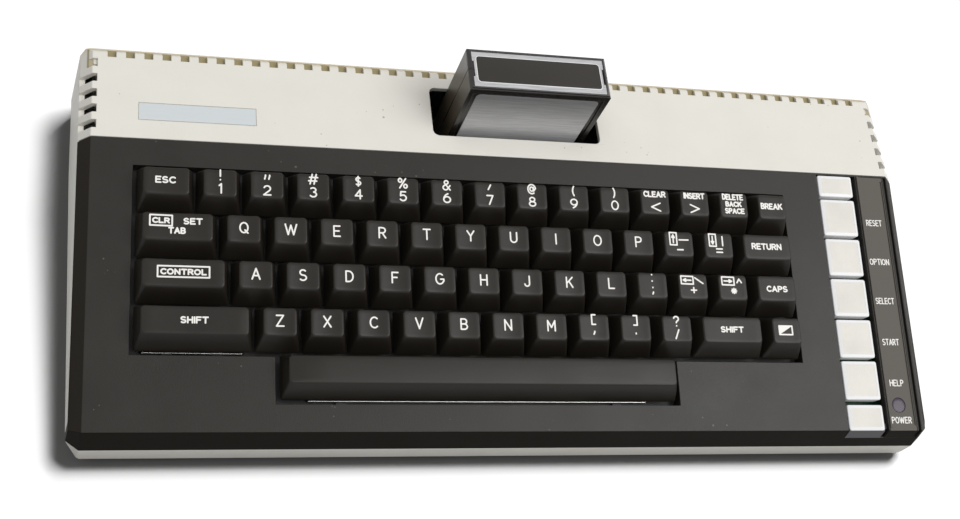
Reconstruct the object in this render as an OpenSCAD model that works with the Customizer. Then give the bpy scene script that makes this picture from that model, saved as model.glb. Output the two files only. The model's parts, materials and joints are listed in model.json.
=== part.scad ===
/* [Case] */
// Width of the case at its widest line
case_w = 381; // [376:1:388]
// Depth of the case at its widest line
case_d = 168; // [166:0.2:172]
// Height of the level rear deck above the table
deck_z = 50; // [48:0.5:54]
// Height of the widest line, where the two case halves meet
wide_z = 15; // [14:0.5:16]
// Slope of the front deck, in degrees
slope = 10.74; // [9.5:0.1:11.5]
// Width of the flat top between the two side chamfers
deck_w = 365.4; // [362:0.2:367]
// Size of the chamfer round the top edges
chamfer = 5; // [4:0.2:5.4]
// Thickness of the moulded walls
wall = 2.5; // [2:0.1:3]
// Number of cooling notches along the rear edge
rear_notches = 47; // [40:1:47]

/* [Keyboard] */
// Spacing of the keys
key_u = 19.05; // [19:0.05:19.1]
// Gap between neighbouring key skirts
key_gap = 0.9; // [0.8:0.1:1.2]
// Height of the key tops above the front deck
key_top = 8; // [7:0.5:9]
// Travel of a key
key_travel = 3.8; // [3:0.1:3.8]
// Depth of the hollow moulded into a key top
key_dish = 0.5; // [0.3:0.1:0.7]

/* [Console buttons] */
// Length of a console button along the deck
button_len = 17.4; // [17:0.1:17.6]
// Width of a console button
button_w = 17.6; // [17:0.1:17.8]
// Travel of a console button
button_travel = 1.5; // [1:0.1:1.5]

/* [Cartridge] */
// Width of the cartridge
cart_w = 63.2; // [60:0.2:64]
// Thickness of the cartridge
cart_t = 20.6; // [20:0.2:20.8]
// Height that the cartridge stands above the deck
cart_proud = 33; // [28:1:36]

/* [Hidden] */
$fn = 48;
eps = 0.02;

// ---- levels and outlines of the case ----
base_z = 3;
centre_y = 1.8;
rear_y = centre_y + case_d / 2;
front_y = centre_y - case_d / 2;
nose_y = front_y + 2.9;
deck_run = 120.5;
break_y = nose_y + deck_run * cos(slope);
nose_z = deck_z - deck_run * sin(slope);
level_len = 41.4;
rear_chamfer = 4.5;
deck_rear_y = break_y + level_len;
lip_y = deck_rear_y + rear_chamfer;
lip_z = deck_z - rear_chamfer;
deck_half = deck_w / 2;
flare = (case_w / 2 - deck_half - chamfer) / (deck_z - wide_z - chamfer);
under = 5.5;
seat = 5;
floor_z = base_z + wall;
corner_out = 0.6;
corner_turn = 38;
corner_run = [-cos(corner_turn), sin(corner_turn), 0];
corner_edge = [-corner_out, front_y - nose_y, wide_z - nose_z];
corner_n = cross(corner_run, corner_edge);
corner_in = -corner_n / norm(corner_n);
foot_n = cross(corner_run, [0, 0, -1]);

// ---- keyboard frame of reference: x across, y up the slope, z off the deck ----
kb_x = -165.6;
kb_len = 78.2;
kb_wide = 292.5;
deck_s = 90;
kb_y = break_y - deck_s * cos(slope);
kb_z = deck_z - deck_s * sin(slope);
kb_margin = 1;
row_y = [for (r = [0:4]) kb_len - kb_margin - key_u / 2 - r * key_u];
space_x = kb_x + 57.4;
space_wide = 174;
space_deep = 19.5;
skirt_z = -1;
key_lean = 1.8;
cap_top_deep = 11.2;
cap_side = 2.45;
cap_skin = 1.3;
stem = 4.4;
stem_end = -8.4;
frame_top = -7;
frame_low = -8.8;
tower = 7.4;
tower_top = -0.6;
sheet_top = stem_end - key_travel - 0.4;
sheet_z = sheet_top - 1.6;
sheet_t = 0.8;
circuit_t = 1.6;
circuit_low = sheet_z - sheet_t - circuit_t;
wire_r = 0.6;
wire_z = skirt_z - key_travel - 0.3 - wire_r;
wire_y = -8.6;
hook_y = -1.2;
hook_half = 1.2;
arm_out = 2.6;

// Widths of the keys in each row, in key units
ROW_1 = [1.25, 1, 1, 1, 1, 1, 1, 1, 1, 1, 1, 1, 1, 1, 1];
ROW_2 = [1.75, 1, 1, 1, 1, 1, 1, 1, 1, 1, 1, 1, 1, 1.5];
ROW_3 = [2, 1, 1, 1, 1, 1, 1, 1, 1, 1, 1, 1, 1, 1.25];
ROW_4 = [2.5, 1, 1, 1, 1, 1, 1, 1, 1, 1, 1, 1.75, 1];
ROW_5 = [9];
ROWS = [ROW_1, ROW_2, ROW_3, ROW_4, ROW_5];
ROW_START = [for (r = [0:4]) r < 4 ? kb_x + kb_margin : space_x + kb_margin + 0.3];
// ---- console strip ----
strip_x = kb_x + 311.4;
strip_wide = 20;
label_x = kb_x + 332.1;
label_wide = 13.6;
button_x = kb_x + 320.6;
strip_rear = 89;
first_button = 68.25;
BUTTON_Y = [for (i = [0:4]) first_button - i * key_u];
proud = 0.5;
led_x = kb_x + 338;
led_y = -19;
console_top = -10;
button_low = -5.2;
plunger = button_low - console_top - button_travel - 0.2;
strip_front = -26;
strip_low = nose_z - 5.6;
front_skin = 1.4;
label_skin = 1.2;
rim_groove_x = kb_x + 346.6;
rim_groove = 1.1;

// ---- cartridge slot ----
slot_x = 0.9;
slot_wide = 77.6;
cart_x = 1.8;
slot_deep = 24.4;
slot_y = break_y + 9.3 + slot_deep / 2;
cart_y = break_y + 12.4 + cart_t / 2;
cart_top = deck_z + cart_proud;
cart_low = 19;
well_low = 24;
door_len = 12;
door_t = 1.2;
door_z = 46;
front_hinge_y = break_y + 7.8;
rear_hinge_y = break_y + 35.2;
front_lean = 18;
rear_lean = 6;
pin_r = 1;

// ---- electronics ----
board_z = 16;
board_t = 1.6;
board_top = board_z + board_t;
board_front = 1;
board_rear = 80;
shield_z = 23.2;
port_z = 24.5;
PORT_Y = [17, 55];
port_face_x = 184;
jack_x = 122;
tv_x = 84;
switch_x = 154;
peripheral_x = -105;
expansion_wide = 72;
can_rear = 77;
FEET = [[-158, -62], [158, -62], [-158, 66], [158, 66]];
BOSSES = [[-179.5, -58], [179.5, -58], [-179.5, 30], [179.5, 77], [-179.5, 77], [136, -70]];
boss_z = 9.5;
POSTS = [for (x = [-140, -60, 60, 140], y = [6, 70]) [x, y]];
rocker_y = 79;

// ======== helpers ========

// Puts children in the frame of the sloping deck
module on_slope() {
  translate([0, kb_y, kb_z]) rotate([slope, 0, 0]) children();
}

// Draws an outline given in y and z along the full width
module across(points, x0, x1) {
  translate([x0, 0, 0]) rotate([90, 0, 90]) linear_extrude(x1 - x0) polygon(points);
}

// A box from its low corner to its high corner
module box(low, high) {
  translate(low) cube(high - low);
}

// A block filling all that lies beyond a plane through p with normal n
module beyond(p, n) {
  translate(p) rotate([0, acos(n[2] / norm(n)), atan2(n[1], n[0])])
    translate([-60, -60, 0]) cube([120, 120, 60]);
}

// A plain rectangle with its four corners rounded by true arcs
module round_plate(size, r, h) {
  linear_extrude(h) {
    translate([r - size[0] / 2, -size[1] / 2]) square([size[0] - 2 * r, size[1]]);
    translate([-size[0] / 2, r - size[1] / 2]) square([size[0], size[1] - 2 * r]);
    for (x = [-1, 1], y = [-1, 1])
      translate([x * (size[0] / 2 - r), y * (size[1] / 2 - r)]) circle(r, $fn = 24);
  }
}

// ======== outer form of the case ========

// Side outline above the widest line, with every wall moved in by t
function upper_side(t) = [
  [front_y + t, wide_z], [nose_y + 0.8 * t, nose_z - t],
  [break_y, deck_z - t], [deck_rear_y - 0.4 * t, deck_z - t],
  [lip_y - t, lip_z - 0.4 * t], [rear_y - t, wide_z]
];

// Cross outline of deck, chamfers and flared side walls; k shortens its depths
function cross_outline(t, k) = let (
  top = deck_half - 0.4 * t,
  low = deck_half + chamfer - t,
  deep = deck_z
) [
  [-top + chamfer, k * (chamfer - t)], [top - chamfer, k * (chamfer - t)],
  [low, k * (-chamfer - 0.4 * t)], [low + (deep - chamfer) * flare, -k * deep],
  [-low - (deep - chamfer) * flare, -k * deep], [-low, k * (-chamfer - 0.4 * t)]
];

module level_run(t) {
  translate([0, case_d, deck_z]) rotate([90, 0, 0])
    linear_extrude(2 * case_d) polygon(cross_outline(t, 1));
}

module sloped_run(t) {
  translate([0, break_y, deck_z]) rotate([slope, 0, 0]) translate([0, case_d, 0])
    rotate([90, 0, 0]) linear_extrude(2 * case_d) polygon(cross_outline(t, cos(slope)));
}

// The two planes that cut off the upright corners of one side
module corner_cuts(t) {
  beyond([-deck_half, nose_y, nose_z] + t * corner_in, corner_n);
  rear_corner_cut(t);
}

module rear_corner_cut(t) {
  mirror([0, 1, 0]) beyond([-deck_half - 1.2, -lip_y, 0] + 0.707 * t * [1, 1, 0], [-1, -1, 0]);
}

// Solid form of everything above the widest line: what the three runs have in common
module upper_form(t = 0) {
  difference() {
    intersection() {
      across(upper_side(t), -case_w, case_w);
      level_run(t);
      sloped_run(t);
    }
    corner_cuts(t);
    mirror([1, 0, 0]) corner_cuts(t);
  }
}

// Plan angle by which the side walls close in towards the front
function plan_angle() = atan(flare * tan(slope));

// Solid form of everything below the widest line, tapering to the base
module lower_form(t = 0) {
  depth = wide_z - base_z;
  lean = atan(under / depth);
  difference() {
    across([[front_y + 0.8 + t, base_z + t], [front_y + t, wide_z],
            [rear_y - t, wide_z], [rear_y - under + 2 - t, base_z + t]],
           -case_w / 2 - 1, case_w / 2 + 1);
    for (side = [0, 1]) mirror([side, 0, 0]) {
      for (turn = [0, plan_angle()]) translate([case_w / 2 - t, break_y, wide_z])
        rotate([0, 0, -turn]) rotate([0, lean, 0]) translate([0, -200, -60]) cube([60, 300, 80]);
      beyond([-deck_half - corner_out, front_y, 0] - t * foot_n, foot_n);
      rear_corner_cut(t);
    }
  }
}

// Everything in front of the break and above a depth d below the sloping deck
module sloped_zone(d, gap = 0) {
  intersection() {
    translate([0, break_y, deck_z - d]) rotate([slope, 0, 0])
      translate([-case_w, -200, 0]) cube([2 * case_w, 260, 60]);
    box([-case_w, -200, -20], [case_w, break_y - gap, 120]);
  }
}

// All that lies within t of the front wall
module front_slab(t, x0, x1) {
  across([[-150, wide_z], [front_y + t, wide_z], [nose_y + t, nose_z], [nose_y + t, 60], [-150, 60]],
         x0, x1);
}

// The dark front part: the sloping deck, the front wall and its two corners
module dark_zone(gap = 0) {
  sloped_zone(seat, gap);
  front_slab(wall, -case_w, case_w);
  for (side = [0, 1]) mirror([side, 0, 0])
    beyond([-deck_half, nose_y, nose_z] + wall * corner_in, corner_n);
}

module boss_post(p, low, high, r, hole) {
  translate([p[0], p[1], low]) difference() {
    cylinder(h = high - low, r = r);
    translate([0, 0, -eps]) cylinder(h = high - low + 2 * eps, r = hole);
  }
}

// ======== case shells ========

module side_vents() {
  for (i = [0:4], side = [-1, 1]) {
    low = i < 4 ? deck_z - 6 : deck_z - 1.6;
    x = side > 0 ? deck_half - 2 : -deck_half - 12;
    box([x, break_y + 5.1 + 7.5 * i, low], [x + 14, break_y + 7.9 + 7.5 * i, deck_z + 1]);
  }
}

module rear_vents() {
  pitch = 7.57;
  for (i = [0:rear_notches - 1]) {
    x = (i - (rear_notches - 1) / 2) * pitch - 0.75;
    box([x - 1.75, deck_rear_y - 2.3, deck_z - 1.8], [x + 1.75, rear_y + 1, deck_z + 1]);
  }
}

// Windows for the sockets in the rear wall and the right-hand wall
module port_windows() {
  box([switch_x - 11.5, 76, port_z - 7], [switch_x + 11.5, 90, port_z + 6.5]);
  translate([jack_x, 76, port_z]) rotate([-90, 0, 0]) cylinder(h = 20, r = 9.3);
  translate([tv_x + 12, 76, port_z]) rotate([-90, 0, 0]) cylinder(h = 20, r = 7.4);
  box([tv_x - 19, 76, port_z - 3], [tv_x - 7, 90, port_z + 3]);
  box([peripheral_x - 18, 76, port_z - 7], [peripheral_x + 18, 90, port_z + 7]);
  box([-expansion_wide / 2, 76, wide_z - 1], [expansion_wide / 2, 90, 28]);
  for (y = PORT_Y) box([170, y - 17, port_z - 7], [200, y + 17, port_z + 7]);
}

module top_case() {
  color("ivory") {
    difference() {
      upper_form();
      difference() {
        upper_form(wall);
        bulkhead();
      }
      dark_zone();
      translate([slot_x, slot_y, deck_z - 6])
        round_plate([slot_wide, slot_deep], 2.2, 10);
      box([kb_x + 1.8, break_y + 8.9, deck_z - 0.5], [kb_x + 50.5, break_y + 17.3, deck_z + 1]);
      side_vents();
      rear_vents();
      port_windows();
    }
    for (b = BOSSES) intersection() {
      boss_post(b, boss_z, deck_z, 3.4, 1.25);
      difference() {
        upper_form(wall / 2);
        sloped_zone(seat + 0.6);
      }
    }
  }
}

// Cross wall under the break and the ledge that carries the bezel
module bulkhead() {
  difference() {
    union() {
      box([-case_w, break_y - 1, deck_z - seat - 5], [case_w, break_y + 2, deck_z]);
      sloped_zone(seat + 2.2);
    }
    on_slope() box([kb_x - 8, -26, -30], [kb_x + kb_wide + 8, kb_len + 6, 10]);
    on_slope() box([strip_x - 4, strip_front, -30], [label_x + label_wide - 1, strip_rear, 10]);
  }
}

module bezel_openings() {
  on_slope() {
    box([kb_x, 0, -20], [kb_x + kb_wide, kb_len, 5]);
    box([space_x, -space_deep, -20], [space_x + space_wide, 1, 5]);
  }
}

// A band t thick that ends the strip: it turns down the front wall as far as strip_low
module strip_band(x0, x1, t) {
  intersection() {
    box([x0, -200, strip_low], [x1, 0, 100]);
    union() {
      on_slope() box([x0, -60, -t], [x1, strip_front, 5]);
      front_slab(t, x0, x1);
    }
  }
}

// Space that a strip takes up in the bezel, low beneath the deck and t deep at its front
module strip_zone(x0, x1, low, t) {
  on_slope() box([x0, strip_front - 1, low], [x1, strip_rear, 5]);
  strip_band(x0, x1, t);
}

module keyboard_bezel() {
  color([0.27, 0.26, 0.25]) difference() {
    intersection() {
      upper_form();
      dark_zone(0.25);
    }
    // hollow underside with a rim round the edge
    intersection() {
      upper_form(3.6);
      on_slope() difference() {
        box([-200, -60, -30], [200, deck_s - 3.4, -wall]);
        box([kb_x - 2, -2, -30], [kb_x + kb_wide + 2, kb_len + 2, 0]);
        box([space_x - 2, -space_deep - 2, -30], [space_x + space_wide + 2, 0, 0]);
        for (x = [-176, -100, 0, 100]) box([x, -60, -30], [x + 1.6, 100, 0]);
      }
    }
    bezel_openings();
    strip_zone(strip_x, strip_x + strip_wide, -20, front_skin);
    strip_zone(label_x, label_x + label_wide, -label_skin, label_skin);
    strip_zone(rim_groove_x, rim_groove_x + rim_groove, -rim_groove, rim_groove);
    on_slope() translate([led_x, led_y, -20]) cylinder(h = 25, r = 3.6);
  }
}

module base_vents() {
  for (i = [0:11], side = [-1, 1])
    box([side * (24 + 9 * i) - 1.4, 14, 0], [side * (24 + 9 * i) + 1.4, 50, floor_z + 1]);
}

// Lip inside the seam that locates the top case
module locating_lip() {
  lip_t = 1.5;
  difference() {
    intersection() {
      union() {
        upper_form(wall + 0.15);
        lower_form(wall - 1);
      }
      box([-200, -100, wide_z - 3], [200, 100, wide_z + 1.8]);
    }
    upper_form(wall + 0.15 + lip_t);
    lower_form(wall + 0.15 + lip_t);
    port_windows();
  }
}

module bottom_case() {
  color("antiquewhite") difference() {
    union() {
      difference() {
        lower_form();
        lower_form(wall);
      }
      locating_lip();
      intersection() {
        lower_form();
        union() {
          for (b = BOSSES) translate([b[0], b[1], base_z]) cylinder(h = boss_z - base_z, r = 4.2);
          for (f = FEET) translate([f[0], f[1], base_z]) cylinder(h = wall + 1.5, r = 9);
          for (p = POSTS) translate([p[0], p[1], base_z]) cylinder(h = wide_z - base_z, r = 3.5);
          for (x = [-170, -85, 0, 85, 170]) box([x, -75, base_z], [x + 1.8, -6, 9]);
          box([-180, -6, base_z], [180, -4.2, 9]);
        }
      }
      for (p = POSTS) translate([p[0], p[1], wide_z - 1]) cylinder(h = board_z - wide_z + 1, r = 3.5);
    }
    for (b = BOSSES) translate([b[0], b[1], base_z - 1]) {
      cylinder(h = 5, r = 3);
      cylinder(h = 20, r = 1.7);
    }
    for (f = FEET) translate([f[0], f[1], base_z - 1]) cylinder(h = 2, r = 7.1);
    base_vents();
    box([-expansion_wide / 2, 76, wide_z - 1], [expansion_wide / 2, 90, 28]);
  }
}

module nameplate() {
  color([0.72, 0.77, 0.8])
    box([kb_x + 2, break_y + 9.1, deck_z - 0.5], [kb_x + 50.3, break_y + 17.1, deck_z - 0.1]);
}

// ======== console strip ========

module label_panel() {
  x0 = label_x + 0.1;
  x1 = label_x + label_wide - 0.1;
  y1 = strip_rear - 0.1;
  color([0.33, 0.31, 0.29]) difference() {
    union() {
      intersection() {
        upper_form();
        union() {
          strip_band(x0, x1, label_skin);
          on_slope() box([x0, strip_front - eps, -label_skin], [x1, y1, 5]);
        }
      }
      on_slope() box([x0, -29, -label_skin], [x0 + 1, y1, 0.5]);
    }
    on_slope() translate([led_x, led_y, -5]) cylinder(h = 10, r = 3.4);
    on_slope() box([x1 - 1.2, -28, -0.5], [x1 - 0.4, strip_rear - 2, 1]);
  }
}

module strip_fillers() {
  x0 = button_x - button_w / 2;
  x1 = button_x + button_w / 2;
  color([0.86, 0.86, 0.86]) {
    intersection() {
      upper_form();
      strip_band(x0, x1, front_skin);
    }
    on_slope() {
      box([x0, -30.4, -0.5], [x1, strip_front, proud]);
      filler_tray(x0, x1, strip_front - eps, -19);
      filler_tray(x0, x1, 78.5, strip_rear - 0.3);
    }
  }
}

// A filler plate with a rim below it and a web standing on the console board
module filler_tray(x0, x1, y0, y1) {
  rim = 1.6;
  difference() {
    box([x0, y0, -4.8], [x1, y1, proud]);
    box([x0 + rim, y0 + rim, -10], [x1 - rim, y1 - rim, -1.8]);
  }
  box([button_x - 1, y0 + 3, console_top], [button_x + 1, y0 + 4.6, -1.8 + eps]);
}

module power_led() {
  color([0.35, 0.2, 0.4]) on_slope() translate([led_x, led_y, 0]) {
    translate([0, 0, -8]) cylinder(h = 8.1, r = 3.3);
    translate([0, 0, -9]) cylinder(h = 1.2, r = 3.8);
    for (s = [-1, 1]) translate([s * 1.27, 0, -13]) cylinder(h = 5, r = 0.3, $fn = 16);
  }
}

module console_button(i) {
  color([0.88, 0.88, 0.88]) on_slope() translate([button_x, BUTTON_Y[i], 0]) difference() {
    round_top_block(button_w, button_len, button_low, proud);
    difference() {
      box([-button_w / 2 + 1.4, -button_len / 2 + 1.4, -8],
          [button_w / 2 - 1.4, button_len / 2 - 1.4, -1.6]);
      box([-1.5, -1.5, -9], [1.5, 1.5, 0]);
      box([-button_w / 2, -0.6, -4], [button_w / 2, 0.6, 0]);
    }
  }
}

// A block whose upper edges carry a small flat chamfer all round
module round_top_block(w, l, low, high) {
  c = 0.7;
  intersection() {
    translate([0, l / 2, 0]) rotate([90, 0, 0]) linear_extrude(l)
      polygon([[-w / 2, low], [w / 2, low], [w / 2, high - c], [w / 2 - c, high],
               [-w / 2 + c, high], [-w / 2, high - c]]);
    translate([-w / 2, 0, 0]) rotate([90, 0, 90]) linear_extrude(w)
      polygon([[-l / 2, low], [l / 2, low], [l / 2, high - c], [l / 2 - c, high],
               [-l / 2 + c, high], [-l / 2, high - c]]);
  }
}

module console_board() {
  x0 = strip_x - 1;
  x1 = led_x + 2.8;
  color("darkolivegreen") on_slope() {
    difference() {
      box([x0, -29, console_top - 1.6], [x1, 87, console_top]);
      for (s = [-1, 1]) translate([led_x + s * 1.27, led_y, -20]) cylinder(h = 20, r = 0.4, $fn = 16);
    }
    for (y = BUTTON_Y) translate([button_x, y, console_top]) {
      box([-3, -3, 0], [3, 3, 2.4]);
      cylinder(h = plunger, r = 1.7);
    }
  }
}

// ======== keyboard ========

function sum_to(v, n) = n == 0 ? 0 : v[n - 1] + sum_to(v, n - 1);
function key_x(r, i) = ROW_START[r] + (sum_to(ROWS[r], i) + ROWS[r][i] / 2) * key_u;
function stem_places(w) = w > 5 ? [-50, 0, 50] : w > 2.4 ? [-11.4, 0, 11.4] : [0];

// A sculpted cap: two crossed profiles, a cylindrical hollow on top, open below
module key_cap(w) {
  half = (w * key_u - key_gap) / 2;
  deep = (key_u - key_gap) / 2;
  top_half = half - cap_side;
  rear = key_lean + cap_top_deep / 2;
  front = key_lean - cap_top_deep / 2;
  skin = cap_skin;
  dish_r = (top_half * top_half + key_dish * key_dish) / (2 * key_dish);
  difference() {
    intersection() {
      translate([0, deep, 0]) rotate([90, 0, 0]) linear_extrude(2 * deep)
        polygon([[-half, skirt_z], [half, skirt_z], [top_half, key_top], [-top_half, key_top]]);
      translate([-half, 0, 0]) rotate([90, 0, 90]) linear_extrude(2 * half)
        polygon([[-deep, skirt_z], [deep, skirt_z], [rear, key_top], [front, key_top]]);
    }
    intersection() {
      translate([0, deep, 0]) rotate([90, 0, 0]) linear_extrude(2 * deep)
        polygon([[-half + skin, skirt_z - eps], [half - skin, skirt_z - eps],
                 [top_half - skin + 0.3, key_top - 2], [-top_half + skin - 0.3, key_top - 2]]);
      translate([-half, 0, 0]) rotate([90, 0, 90]) linear_extrude(2 * half)
        polygon([[-deep + skin, skirt_z - eps], [deep - skin, skirt_z - eps],
                 [rear - skin + 0.3, key_top - 2], [front + skin - 0.3, key_top - 2]]);
    }
    if (w < 9)
      translate([0, 20, key_top - key_dish + dish_r]) rotate([90, 0, 0])
        cylinder(h = 40, r = dish_r, $fn = 180);
    else
      bar_crown(half, front, rear);
  }
}

// Takes the edges off the long bar so that its top is a shallow crown
module bar_crown(half, front, rear) {
  r = 60;
  mid = (front + rear) / 2;
  difference() {
    box([-half - 1, front - 1, key_top - 1], [half + 1, rear + 1, key_top + 1]);
    translate([-half - 2, mid, key_top - r]) rotate([0, 90, 0])
      cylinder(h = 2 * half + 4, r = r, $fn = 360);
  }
}

module key(r, i) {
  w = ROWS[r][i];
  on_slope() translate([key_x(r, i), row_y[r], 0]) {
    key_cap(w);
    for (x = stem_places(w))
      box([x - stem / 2, -stem / 2, stem_end], [x + stem / 2, stem / 2, key_top - 1.9]);
    if (w > 2.4) for (s = [-1, 1]) wire_hook(s * wire_half(w));
  }
}

// Half the distance between the two hooks that a balance wire ends in
function wire_half(w) = w > 5 ? 70.4 : 16.9;

// The little slotted hook under a long key
module wire_hook(x) {
  difference() {
    box([x - hook_half, hook_y - 3, wire_z - 1.6], [x + hook_half, hook_y + 2.2, key_top - 1.9]);
    box([x - 2, hook_y - 2.2, wire_z - wire_r - 0.2], [x + 2, hook_y + 1.3, wire_z + wire_r + 0.2]);
  }
}

// A wire bent to a wide U whose turned-in ends sit in the two hooks
module balance_wire(r, i) {
  out = wire_half(ROWS[r][i]) + arm_out;
  color("silver") on_slope() translate([key_x(r, i), row_y[r], wire_z]) {
    translate([-out, wire_y, 0]) rotate([0, 90, 0]) cylinder(h = 2 * out, r = wire_r, $fn = 16);
    for (s = [-1, 1]) {
      translate([s * out, wire_y, 0]) sphere(wire_r, $fn = 16);
      translate([s * out, wire_y, 0]) rotate([-90, 0, 0])
        cylinder(h = hook_y - wire_y, r = wire_r, $fn = 16);
      translate([s * out, hook_y, 0]) sphere(wire_r, $fn = 16);
      translate([s * out, hook_y, 0]) rotate([0, -90 * s, 0])
        cylinder(h = arm_out + hook_half + 0.2, r = wire_r, $fn = 16);
    }
  }
}

module dark_key(r, i) {
  color([0.2, 0.19, 0.18]) key(r, i);
}

// Keys that one finger works: one in each of the four rows
module key_column(n) {
  dark_key(0, n);
  dark_key(1, n);
  dark_key(2, n);
  dark_key(3, n);
}

module right_hand_keys() {
  for (i = [11, 12, 13]) dark_key(0, i);
  for (i = [11, 12]) dark_key(1, i);
  for (i = [11, 12]) dark_key(2, i);
}

// Plan of the keyboard mechanism, grown by g beyond the key field
module field_plan(g) {
  translate([kb_x - g, -g]) square([kb_wide + 2 * g, kb_len + 2 * g]);
  translate([space_x - g, -space_deep - g * 0.6]) square([space_wide + 2 * g, space_deep + g]);
}

module each_stem(size) {
  for (r = [0:4], i = [0:len(ROWS[r]) - 1], x = stem_places(ROWS[r][i]))
    translate([key_x(r, i) + x, row_y[r]]) square(size, center = true);
}

module key_frame() {
  color([0.15, 0.15, 0.16]) on_slope() difference() {
    union() {
      translate([0, 0, frame_low]) linear_extrude(frame_top - frame_low) field_plan(5);
      translate([0, 0, frame_low]) linear_extrude(tower_top - frame_low) each_stem(tower);
      translate([0, 0, sheet_z]) linear_extrude(frame_low - sheet_z + eps) difference() {
        field_plan(5);
        field_plan(3.4);
      }
      for (r = [0:3]) box([kb_x, row_y[r] - key_u / 2 - 0.7, sheet_z],
                          [kb_x + kb_wide, row_y[r] - key_u / 2 + 0.7, frame_low + eps]);
      // raised rim that the bezel rests on
      translate([0, 0, frame_top - eps]) linear_extrude(-seat * cos(slope) - frame_top) difference() {
        field_plan(2);
        field_plan(0.3);
      }
      // clips that hold the two balance wires
      for (x = [-60, 60]) wire_clip(key_x(4, 0) + x, row_y[4]);
      for (x = [-10, 10]) wire_clip(key_x(3, 0) + x, row_y[3]);
    }
    // pockets that the hooks and the wires' arms swing down into
    for (r = [3, 4], s = [0, 1]) translate([key_x(r, 0), row_y[r], 0]) mirror([s, 0, 0])
      translate([wire_half(ROWS[r][0]), 0, 0])
        box([-hook_half - 0.5, wire_y + 0.2, frame_low - 1], [arm_out + 1.2, 1.6, frame_top + 1]);
    translate([0, 0, frame_low - 20]) linear_extrude(40) each_stem(stem + 0.5);
  }
}

module wire_clip(x, y) {
  difference() {
    box([x - 2, y + wire_y - 1.6, frame_low], [x + 2, y + wire_y + 1.6, wire_z + wire_r]);
    translate([x - 3, y + wire_y, wire_z]) rotate([0, 90, 0]) cylinder(h = 6, r = wire_r + 0.06);
    box([x - 3, y + wire_y - 0.5, wire_z], [x + 3, y + wire_y + 0.5, wire_z + 2]);
  }
}

module dome_sheet() {
  color([0.55, 0.55, 0.5]) on_slope() {
    translate([0, 0, sheet_z - sheet_t]) linear_extrude(sheet_t) field_plan(4.6);
    for (r = [0:4], i = [0:len(ROWS[r]) - 1]) translate([key_x(r, i), row_y[r], sheet_z - eps])
      cylinder(h = sheet_top - sheet_z + eps, r1 = 5, r2 = 3.4, $fn = 24);
  }
}

module key_circuit() {
  color("darkgreen") on_slope() difference() {
    translate([0, 0, circuit_low]) linear_extrude(circuit_t) field_plan(5);
    for (x = [-165, -80, 0, 80, 122], y = [2, 72])
      translate([x, y, circuit_low - 2]) cylinder(h = 4, r = 1.4, $fn = 24);
  }
}

// ======== cartridge and its slot ========

module slot_well() {
  x0 = slot_x - slot_wide / 2 - 1.2;
  x1 = slot_x + slot_wide / 2 + 1.2;
  y0 = front_hinge_y - 2.6;
  y1 = rear_hinge_y + 2.4;
  top = deck_z - wall;
  color([0.08, 0.08, 0.08]) difference() {
    box([x0 - 1.6, y0 - 1.6, well_low], [x1 + 1.6, y1 + 1.6, top]);
    box([x0, y0, well_low + 1.6], [x1, y1, top + 1]);
    box([cart_x - cart_w / 2 - 0.5, cart_y - cart_t / 2 - 0.5, well_low - 1],
        [cart_x + cart_w / 2 + 0.5, cart_y + cart_t / 2 + 0.5, top]);
    for (y = [front_hinge_y, rear_hinge_y])
      translate([x0 - 3, y, door_z]) rotate([0, 90, 0]) cylinder(h = x1 - x0 + 6, r = pin_r + 0.06);
  }
}

// A door hanging from its pin, leaning in against the cartridge
module slot_door(y, lean) {
  half = slot_wide / 2 + 0.9;
  color([0.12, 0.12, 0.12]) translate([slot_x, y, door_z]) rotate([lean, 0, 0]) {
    box([-half, -door_t / 2, -door_len], [half, door_t / 2, 0]);
    translate([-half - 1.7, 0, 0]) rotate([0, 90, 0]) cylinder(h = 2 * half + 3.4, r = pin_r);
    for (x = [-24, 0, 24]) box([x - 3, -1.4, -2], [x + 3, 0, 0]);
  }
}

module slot_door_front() {
  slot_door(front_hinge_y, front_lean);
}

module slot_door_rear() {
  slot_door(rear_hinge_y, -rear_lean);
}

// One half of the cartridge shell, its open side towards +y
module shell_half() {
  w = cart_w / 2;
  t = cart_t / 2;
  skin = 1.6;
  difference() {
    union() {
      box([-w, -t + 0.7, cart_low], [w, 0, cart_top]);
      // rounded grip bar under the top edge and raised rims down the sides
      box([-w, -t, cart_top - 4], [w, 0, cart_top - 0.6]);
      box([-w, -t, cart_low + 12], [-w + 2.4, 0, cart_top - 0.6]);
      box([w - 2.4, -t, cart_low + 12], [w, 0, cart_top - 0.6]);
    }
    box([-w + skin, -t + 0.7 + skin, cart_low - 1], [w - skin, 1, cart_top - skin - 0.8]);
    box([-w + 2, -t + 1.6, cart_top - 0.8], [w - 2, 1, cart_top + 1]);
    // top corners taken off
    for (s = [-1, 1]) translate([s * w, 0, cart_top]) rotate([0, 45, 0])
      cube([1.8, 60, 1.8], center = true);
  }
}

module cartridge_front_shell() {
  color([0.13, 0.12, 0.11]) translate([cart_x, cart_y, 0]) shell_half();
}

module cartridge_back_shell() {
  color([0.13, 0.12, 0.11]) translate([cart_x, cart_y, 0]) rotate([0, 0, 180]) shell_half();
}

module cartridge_board() {
  color("darkgreen") translate([cart_x, cart_y, 0]) {
    box([-22, -0.8, 22.5], [22, 0.8, 60]);
    box([-cart_w / 2 + 1.6, -0.8, 34], [cart_w / 2 - 1.6, 0.8, 56]);
    box([-18, -3.8, 40], [18, -0.7, 53]);
  }
}

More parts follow.
